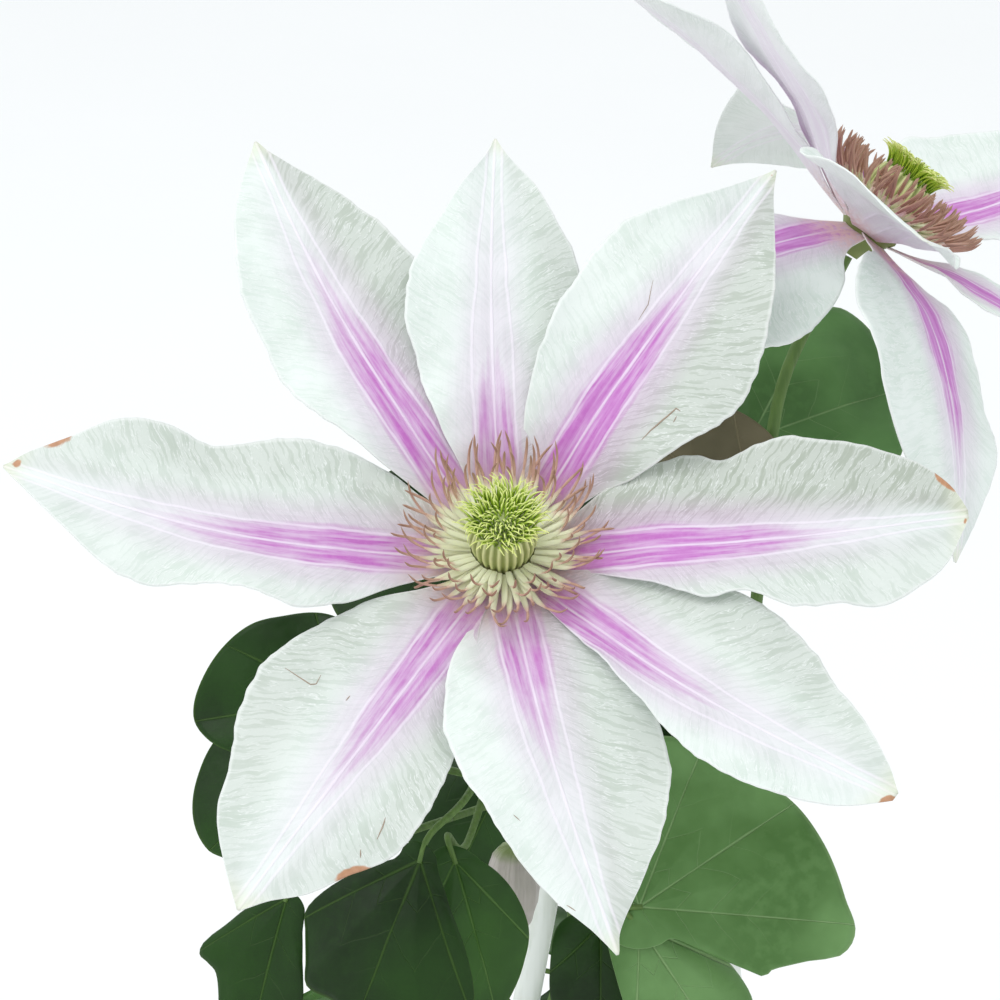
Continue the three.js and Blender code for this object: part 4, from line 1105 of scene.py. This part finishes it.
def tepal_skin(name, mauve, deep_mauve, white, shade):
    """Tepal colour from the distance to the midrib and the run along it."""
    finish = Finish(name, Roughness=0.55, Specular_IOR_Level=0.3)
    flat = finish.own_map("flat")
    share = finish.own_map("share")
    depth = finish.attribute("depth")
    brown = finish.attribute("brown")
    shaded = finish.attribute("shaded")
    reach = finish.attribute("reach")
    across = finish.math("MULTIPLY", flat["X"], map_unit)
    aside = finish.math("ABSOLUTE", across)
    run = finish.math("MULTIPLY", flat["Y"], map_unit)
    s = share["Y"]
    edge = finish.math("ABSOLUTE", share["X"])
    place = finish.place()
    wander = finish.math("SUBTRACT", finish.noise(place, 110, 3), 0.5)

    fan = finish.math("MULTIPLY", finish.math("POWER", aside, 0.6), 2.6)
    slant = finish.math("ADD", finish.math("SUBTRACT", run, fan), finish.math("MULTIPLY", wander, 5))
    slant = finish.math("MULTIPLY", slant, 1.1)
    fibre = finish.add("CombineXYZ", {"X": slant, "Y": finish.math("MULTIPLY", aside, 0.16)})
    fibre = finish.noise(fibre.outputs[0], 1, 3, 0.6)
    line = finish.math("DIVIDE", across, finish.rise(s, 0, 1, 1.0, 0.5))
    line = finish.math("MULTIPLY", line, 1.1)
    streak = finish.add("CombineXYZ", {"X": line, "Y": finish.math("MULTIPLY", run, 0.07)})
    streak = finish.noise(streak.outputs[0], 1, 3, 0.6)
    grain = finish.noise(place, 900, 3, 0.6)
    patch = finish.noise(place, 90, 4, 0.6)

    midrib = finish.rise(finish.math("ADD", aside, finish.math("MULTIPLY", wander, 0.3)), 0.4, 0.08)
    flank = finish.rise(s, 0.35, 1, 0, 2.4)
    flank = finish.math("SUBTRACT", finish.rise(s, 0, 0.2, 2.6, 3.7), flank)
    beside = finish.math("SUBTRACT", finish.math("ADD", aside, wander), flank)
    side_nerve = finish.rise(finish.math("ABSOLUTE", beside), 0.42, 0.1, 0, 0.75)
    nerve = finish.math("MAXIMUM", midrib, side_nerve)
    nerve = finish.math("MULTIPLY", nerve, finish.rise(s, 0.04, 0.2))
    vein = finish.math("ABSOLUTE", finish.math("SUBTRACT", fibre, 0.5))
    vein = finish.math("MULTIPLY", finish.rise(vein, 0.022, 0.002), finish.rise(aside, 1.5, 5))
    vein = finish.math("MULTIPLY", vein, finish.rise(patch, 0.35, 0.6, 0.25, 0.75))

    distance = finish.math("DIVIDE", s, reach)
    spread = finish.rise(distance, 0.3, 0.9, 0, 3.6)
    spread = finish.math("SUBTRACT", finish.rise(distance, 0, 0.22, 3.0, 4.7), spread)
    outside = finish.math("SUBTRACT", finish.math("ADD", aside, finish.math("MULTIPLY", wander, 2)), spread)
    inside = finish.rise(outside, 1.9, -2.4)
    haze = finish.rise(outside, 7.0, 0.0, 0, 0.3)
    fade = finish.rise(distance, 0.34, 0.95, 1, 0.0)
    along = finish.math("MULTIPLY", finish.rise(s, 0.0, 0.1, 0.5, 1), fade)
    bar = finish.math("MULTIPLY", finish.math("MULTIPLY", inside, along), depth)
    bar = finish.math("MULTIPLY", bar, finish.rise(streak, 0.32, 0.66, 0.78, 1.08))
    bar = finish.math("MULTIPLY", bar, finish.rise(patch, 0.3, 0.7, 0.85, 1.1))
    haze = finish.math("MULTIPLY", finish.math("MULTIPLY", haze, depth), finish.rise(s, 0.4, 1.1, 1, 0))
    bar = finish.math("MINIMUM", finish.math("MAXIMUM", bar, haze), 1.0)

    tone = finish.blend(finish.rise(patch, 0.35, 0.65), white, shade)
    # Painted shade: a grey-green laid over the tepal halves that lie in shade, as strongly as the shaded
    # attribute says.
    tone = finish.blend(shaded, tone, colour(167, 175, 161))
    tone = finish.blend(finish.rise(fibre, 0.42, 0.62, 0.25, 0), tone, colour(250, 253, 252))
    tone = finish.blend(finish.math("MULTIPLY", vein, 0.7), tone, colour(253, 255, 255))
    tint = finish.blend(finish.rise(streak, 0.35, 0.65, 0.15, 0.8), mauve, deep_mauve)
    tint = finish.blend(finish.rise(grain, 0.4, 0.7, 0, 0.25), tint, mauve)
    tone = finish.blend(bar, tone, tint)
    tone = finish.blend(finish.math("MULTIPLY", nerve, 0.6), tone, colour(250, 242, 253))
    root = finish.math("MULTIPLY", finish.rise(s, 0.2, 0.06), finish.rise(grain, 0.35, 0.6, 0.25, 0.8))
    tone = finish.blend(root, tone, colour(228, 196, 192))
    tone = finish.blend(finish.rise(s, 0.93, 1.0, 0, 0.5), tone, colour(228, 232, 200))
    tone = finish.blend(finish.rise(edge, 0.95, 1.0, 0, 0.6), tone, colour(250, 252, 250))
    scorch = finish.math("SUBTRACT", finish.noise(place, 500, 3), 0.5)
    scorch = finish.math("ADD", brown, finish.math("MULTIPLY", scorch, 0.6))
    scorch = finish.rise(scorch, 0.36, 0.56, 0, 0.9)
    burnt = finish.blend(finish.noise(place, 900, 2), colour(214, 158, 118), colour(160, 100, 58))
    finish.colour(finish.blend(scorch, tone, burnt))
    relief = finish.math("ADD", finish.math("MULTIPLY", fibre, 0.35), finish.math("MULTIPLY", nerve, 0.4))
    relief = finish.math("ADD", relief, finish.math("MULTIPLY", vein, 0.08))
    relief = finish.math("ADD", relief, finish.math("MULTIPLY", streak, 0.3))
    relief = finish.math("ADD", relief, finish.math("MULTIPLY", grain, 0.15))
    finish.relief(relief, 0.00022, 1.0)
    return finish.material


tepal_face = tepal_skin(
    "tepal_face", colour(212, 156, 214), colour(186, 94, 184), colour(234, 243, 238), colour(221, 233, 225),
)
tepal_back = tepal_skin(
    "tepal_back", colour(238, 234, 240), colour(232, 222, 234), colour(244, 248, 246), colour(234, 240, 236),
)


def add_tepals(bloom):
    for index, under in enumerate(bloom["under"]):
        tepal_bm = bmesh.new()
        depth = tepal_bm.verts.layers.float.new("depth")
        reach = tepal_bm.verts.layers.float.new("reach")
        shaded = tepal_bm.verts.layers.float.new("shaded")
        brown = tepal_bm.verts.layers.float.new("brown")
        surface = tepal_surface(bloom, index)
        spots = [spot for spot in brown_spots if bloom is front_bloom and spot[0] == index]
        marks_and_shade = []

        def place(u, s):
            mark = 0
            for _, at_u, at_s, wide, long, dark in spots:
                far = ((u - at_u) / wide) ** 2 + ((s - at_s) / long) ** 2
                mark = max(mark, dark * math.exp(-far))
            # Painted shade: a half that lies under a neighbour greys towards its margin, and each half greys
            # at least as much as the bloom's shade list says. The brown marks are the tepal's own.
            dim = under[u > 0] * smooth(0.08, 0.75, abs(u)) * (0.85 - 0.35 * smooth(0.6, 1, s))
            dim = max(dim * 0.7, bloom["shade"][index][u > 0] * smooth(0.02, 0.4, abs(u)))
            marks_and_shade.append((mark, dim))
            return surface(u, s)

        add_blade(tepal_bm, 60, 120, place)
        for vert, (mark, dim) in zip(tepal_bm.verts, marks_and_shade):
            vert[depth] = bloom["depth"][index]
            vert[reach] = bloom["reach"][index]
            vert[shaded] = dim
            vert[brown] = mark
        tepal = add_piece(f"{bloom['name']}_tepal_{index + 1}", tepal_bm, tepal_face, tepal_back)
        thicken(tepal, tepal_thickness)
        belongs(tepal, "tepal", f"{bloom['node']}_tepals")


add_tepals(front_bloom)
add_tepals(back_bloom)


# Scars on the front tepals: thin brown lines where a leaf or a snail has rubbed the skin. They lie on
# the skin and stand a little proud of it.
scar_rows = [
    (5, [(0.84, 0.503), (0.72, 0.504), (0.61, 0.504), (0.58, 0.496), (0.6, 0.473)], 0.11),
    (5, [(0.31, 0.497), (0.31, 0.482)], 0.1),
    (5, [(-0.66, 0.683), (-0.69, 0.7), (-0.74, 0.731)], 0.12),
    (5, [(-0.71, 0.766), (-0.76, 0.773), (-0.81, 0.78)], 0.1),
    (4, [(0.71, 0.668), (0.66, 0.683)], 0.08), (4, [(0.86, 0.878), (0.8, 0.894)], 0.08),
    (1, [(0.63, 0.295), (0.61, 0.321), (0.61, 0.337), (0.6, 0.361), (0.59, 0.39), (0.64, 0.388)], 0.17),
    (1, [(0.66, 0.373), (0.7, 0.356)], 0.1),
    (1, [(-0.21, 0.52), (-0.22, 0.561), (-0.33, 0.614)], 0.07),
]
scar_finish = Finish("scar", Roughness=0.7)
scar_tone = scar_finish.noise(scar_finish.place(), 900, 2)
scar_finish.colour(scar_finish.blend(scar_tone, colour(142, 124, 108), colour(186, 166, 148)))
scar_courses = []
for index, points, thickness in scar_rows:
    scar_surface = tepal_surface(front_bloom, index)
    over = Vector(front_bloom["facing"]) * (tepal_thickness / 2 + 0.02)
    fine = []
    for (u1, s1), (u2, s2) in zip(points, points[1:]):
        fine.extend((u1 + (u2 - u1) * k / 6, s1 + (s2 - s1) * k / 6) for k in range(6))
    course = [scar_surface(u, s)[0] + over for u, s in [*fine, points[-1]]]
    last = len(course) - 1
    thick = [thickness * (0.35 + 0.65 * math.sin(math.pi * i / last)) for i in range(last + 1)]
    scar_courses.append(list(zip(course, thick)))
scars = add_rods("tepal_scars", scar_courses, 1, scar_finish.material)
belongs(scars, "tepal")


# Receptacles: the small green cup behind each bloom that holds its tepals. It is the swollen end of
# the flower stalk, smooth and round.
receptacle_profile = [
    (0, -5.2), (2.1, -5), (2.6, -3), (4.8, -0.6), (6.4, 1.6), (6.2, 3.4), (4.5, 4.2), (0, 4.4),
]


def turned(bloom, profile, steps, ripple=0.0, ribs=1):
    """A turned shape that stands in the middle of a bloom."""
    bm = bmesh.new()
    at = pointing(bloom["centre"], bloom["facing"])
    last = len(profile) - 1

    def place(turn, s):
        index = min(int(s * last), last - 1)
        part = s * last - index
        radius = profile[index][0] + (profile[index + 1][0] - profile[index][0]) * part
        height = profile[index][1] + (profile[index + 1][1] - profile[index][1]) * part
        radius *= 1 - ripple * (0.5 - 0.5 * math.cos(turn * ribs))
        return at(radius * math.cos(turn), radius * math.sin(turn), height)

    add_tube(bm, steps, last * 4, place)
    return bm


receptacle_finish = Finish("receptacle", Roughness=0.6)
receptacle_noise = receptacle_finish.noise(receptacle_finish.place(), 300)
receptacle_finish.colour(
    receptacle_finish.blend(receptacle_noise, colour(96, 112, 60), colour(138, 150, 84)),
)
for bloom in (front_bloom, back_bloom):
    receptacle_bm = turned(bloom, receptacle_profile, 48)
    receptacle = add_piece(f"{bloom['name']}_receptacle", receptacle_bm, receptacle_finish.material)
    belongs(receptacle, "tepal", f"{bloom['node']}_tepals")


# Stamens: more than a hundred in four rows. Slim flat cream filaments make a saucer round the ovary,
# and each carries a slim red-brown anther that bends in towards its end.
stamen_rows = [
    (34, [(5.8, 4.6), (9.6, 5.3), (12.8, 6.2), (15.0, 7.6)], [(16.6, 9.0), (18.2, 10.6), (19.2, 12.8)]),
    (31, [(5.8, 5.2), (9.2, 6.1), (12.0, 7.1), (13.8, 8.4)], [(15.2, 9.8), (16.6, 11.7), (17.3, 13.9)]),
    (27, [(5.8, 5.7), (8.6, 6.8), (10.8, 7.7), (12.2, 9.0)], [(13.2, 10.4), (13.9, 12.2), (13.9, 14.0)]),
    (20, [(5.8, 6.1), (8.0, 7.2), (9.8, 8.2), (10.9, 9.4)], [(11.6, 10.8), (12.0, 12.4), (11.8, 13.9)]),
]
stamen_ring = 6.2
filament_width = [(0, 0.55), (0.35, 0.66), (0.65, 0.56), (0.88, 0.36), (1, 0.22)]
anther_width = [(0, 0.22), (0.3, 0.29), (0.8, 0.24), (0.93, 0.15), (1, 0.03)]


def ribbon(bm, course, widths, flatness, around, along):
    """A flattened rod along a course of points, lying flat towards the bloom's axis."""
    points = smooth_course(course[0], 12)
    sideways = course[1]

    def place(turn, s):
        spot = s * (len(points) - 1)
        index = min(int(spot), len(points) - 2)
        centre = points[index].lerp(points[index + 1], spot - index)
        way = (points[index + 1] - points[index]).normalized()
        over = sideways.cross(way).normalized()
        half = between(widths, s)
        return centre + sideways * half * math.cos(turn) + over * half * flatness * math.sin(turn)

    add_tube(bm, around, along, place)


filament_finish = Finish("filament", Roughness=0.5)
filament_s = filament_finish.own_map("share")["Y"]
filament_mottle = filament_finish.noise(filament_finish.place(), 500, 2)
filament_tone = filament_finish.blend(filament_mottle, colour(244, 247, 208), colour(251, 252, 230))
filament_end = filament_finish.rise(filament_s, 0.62, 1.0)
filament_finish.colour(filament_finish.blend(filament_end, filament_tone, colour(232, 200, 184)))
anther_finish = Finish("anther", Roughness=0.6)
anther_share = anther_finish.own_map("share")
# Painted light: a pale pink on the lit side of each anther, strongest near its foot, with a brown strip left
# along one edge.
anther_side = anther_finish.math("SUBTRACT", anther_share["X"], 0.25)
anther_side = anther_finish.math("ABSOLUTE", anther_side)
anther_lit_side = anther_finish.rise(anther_side, 0.1, 0.24)
anther_mottle = anther_finish.noise(anther_finish.place(), 700, 3)
anther_tone = anther_finish.blend(anther_mottle, colour(144, 110, 90), colour(184, 144, 120))
anther_lit_pink = anther_finish.rise(anther_share["Y"], 0.75, 0.2, 0.25, 0.85)
anther_lit_pink = anther_finish.math("MULTIPLY", anther_lit_side, anther_lit_pink)
anther_tone = anther_finish.blend(anther_lit_pink, anther_tone, colour(226, 186, 168))
anther_finish.colour(anther_tone)
anther_finish.relief(anther_mottle, 0.0002)


def add_stamens(bloom):
    chance = random.Random(26)
    at = pointing(bloom["centre"], bloom["facing"])
    middle = Vector(bloom["centre"])
    filaments = bmesh.new()
    anthers = bmesh.new()
    for row, (count, filament, anther) in enumerate(stamen_rows):
        count = round(count * bloom["crowd"])
        for number in range(count):
            bearing = 2 * math.pi * (number + 0.5 * (row % 2) + chance.uniform(-0.3, 0.3)) / count
            reach = chance.uniform(0.93, 1.04)
            high = chance.uniform(-0.9, 0.9)
            bend = chance.uniform(-0.14, 0.14)

            def course(points, start):
                placed = []
                for step, (radius, height) in enumerate(points, start):
                    turn = bearing + bend * (step / 5) ** 2
                    far = stamen_ring + (radius - stamen_ring) * reach
                    rise = height + high * min(step / 3, 1)
                    placed.append(at(far * math.cos(turn), far * math.sin(turn), rise))
                return placed

            turned_way = bearing + math.pi / 2
            sideways = at(math.cos(turned_way), math.sin(turned_way), 0) - middle
            lower = course(filament, 0)
            upper = course([filament[-1], *anther], 3)
            ribbon(filaments, (lower, sideways), filament_width, 0.3, 6, 7)
            stout = [(step, half * bloom["stoutness"]) for step, half in anther_width]
            ribbon(anthers, (upper, sideways), stout, 0.75, 6, 9)
    filament_piece = add_piece(f"{bloom['name']}_filaments", filaments, filament_finish.material)
    anther_piece = add_piece(f"{bloom['name']}_anthers", anthers, anther_finish.material)
    belongs(filament_piece, "stamen", f"{bloom['node']}_stamens")
    belongs(anther_piece, "stamen", f"{bloom['node']}_stamens")


add_stamens(front_bloom)
add_stamens(back_bloom)


# Pistils: a ribbed green barrel of seed cases in the middle of each bloom, with a dense tuft of
# curling silky styles on top, lime green at the root and pale yellow at the tip.
ovary_profile = [(0, 2.7), (4.6, 2.9), (5.3, 5), (6.1, 8.5), (6.2, 11), (5.6, 13.4), (4, 14.8), (0, 15.4)]
ovary_ribs = 26
style_count = 260
tuft_radius = 5.2
tuft_foot = 13.2
golden_turn = 2.39996
ovary_finish = Finish("ovary", Roughness=0.55)
ovary_turn = ovary_finish.own_map("share")["X"]
# Painted shade: the grooves between the ribs are a darker green than the rib crests.
ovary_rib = ovary_finish.math("PINGPONG", ovary_finish.math("MULTIPLY", ovary_turn, ovary_ribs), 0.5)
ovary_rib = ovary_finish.rise(ovary_rib, 0.0, 0.4)
ovary_tone = ovary_finish.blend(ovary_rib, colour(222, 228, 166), colour(146, 158, 90))
ovary_finish.colour(ovary_tone)
style_finish = Finish("style", Roughness=0.5)
style_s = style_finish.own_map("share")["Y"]
style_root = style_finish.rise(style_s, 0.0, 0.45)
style_tone = style_finish.blend(style_root, colour(92, 136, 8), colour(176, 206, 60))
style_tip = style_finish.rise(style_s, 0.4, 0.85)
style_tone = style_finish.blend(style_tip, style_tone, colour(232, 240, 152))
style_finish.colour(style_tone)


def add_pistil(bloom):
    chance = random.Random(11)
    at = pointing(bloom["centre"], bloom["facing"])
    ovary_bm = turned(bloom, ovary_profile, 208, 0.08, ovary_ribs)
    ovary = add_piece(f"{bloom['name']}_ovary", ovary_bm, ovary_finish.material)
    styles = bmesh.new()
    for number in range(style_count):
        bearing = number * golden_turn
        root = tuft_radius * math.sqrt((number + 0.5) / style_count)
        lean = root / tuft_radius
        tall = chance.uniform(3.4, 4.8) * (0.5 + 0.85 * lean - 0.45 * lean * lean)
        curl = chance.uniform(0.2, 1.0)
        spin = chance.uniform(-0.35, 0.35)
        points = []
        for step in range(7):
            t = step / 6
            out = root + (0.5 + 1.9 * lean * lean) * t
            up = tuft_foot + 1.2 * (1 - lean * lean) + tall * math.sin(t * 1.75)
            turn = bearing + spin * t * t
            hook = (curl + 1.3 * lean) * max(t - 0.4, 0)
            points.append(at((out + hook) * math.cos(turn), (out + hook) * math.sin(turn), up))
        turned_way = bearing + math.pi / 2
        sideways = at(math.cos(turned_way), math.sin(turned_way), 0) - Vector(bloom["centre"])
        ribbon(styles, (points, sideways), [(0, 0.2), (0.6, 0.17), (1, 0.09)], 0.8, 5, 8)
    tuft = add_piece(f"{bloom['name']}_styles", styles, style_finish.material)
    belongs(ovary, "pistil", f"{bloom['node']}_pistil")
    belongs(tuft, "pistil", f"{bloom['node']}_pistil")


add_pistil(front_bloom)
add_pistil(back_bloom)
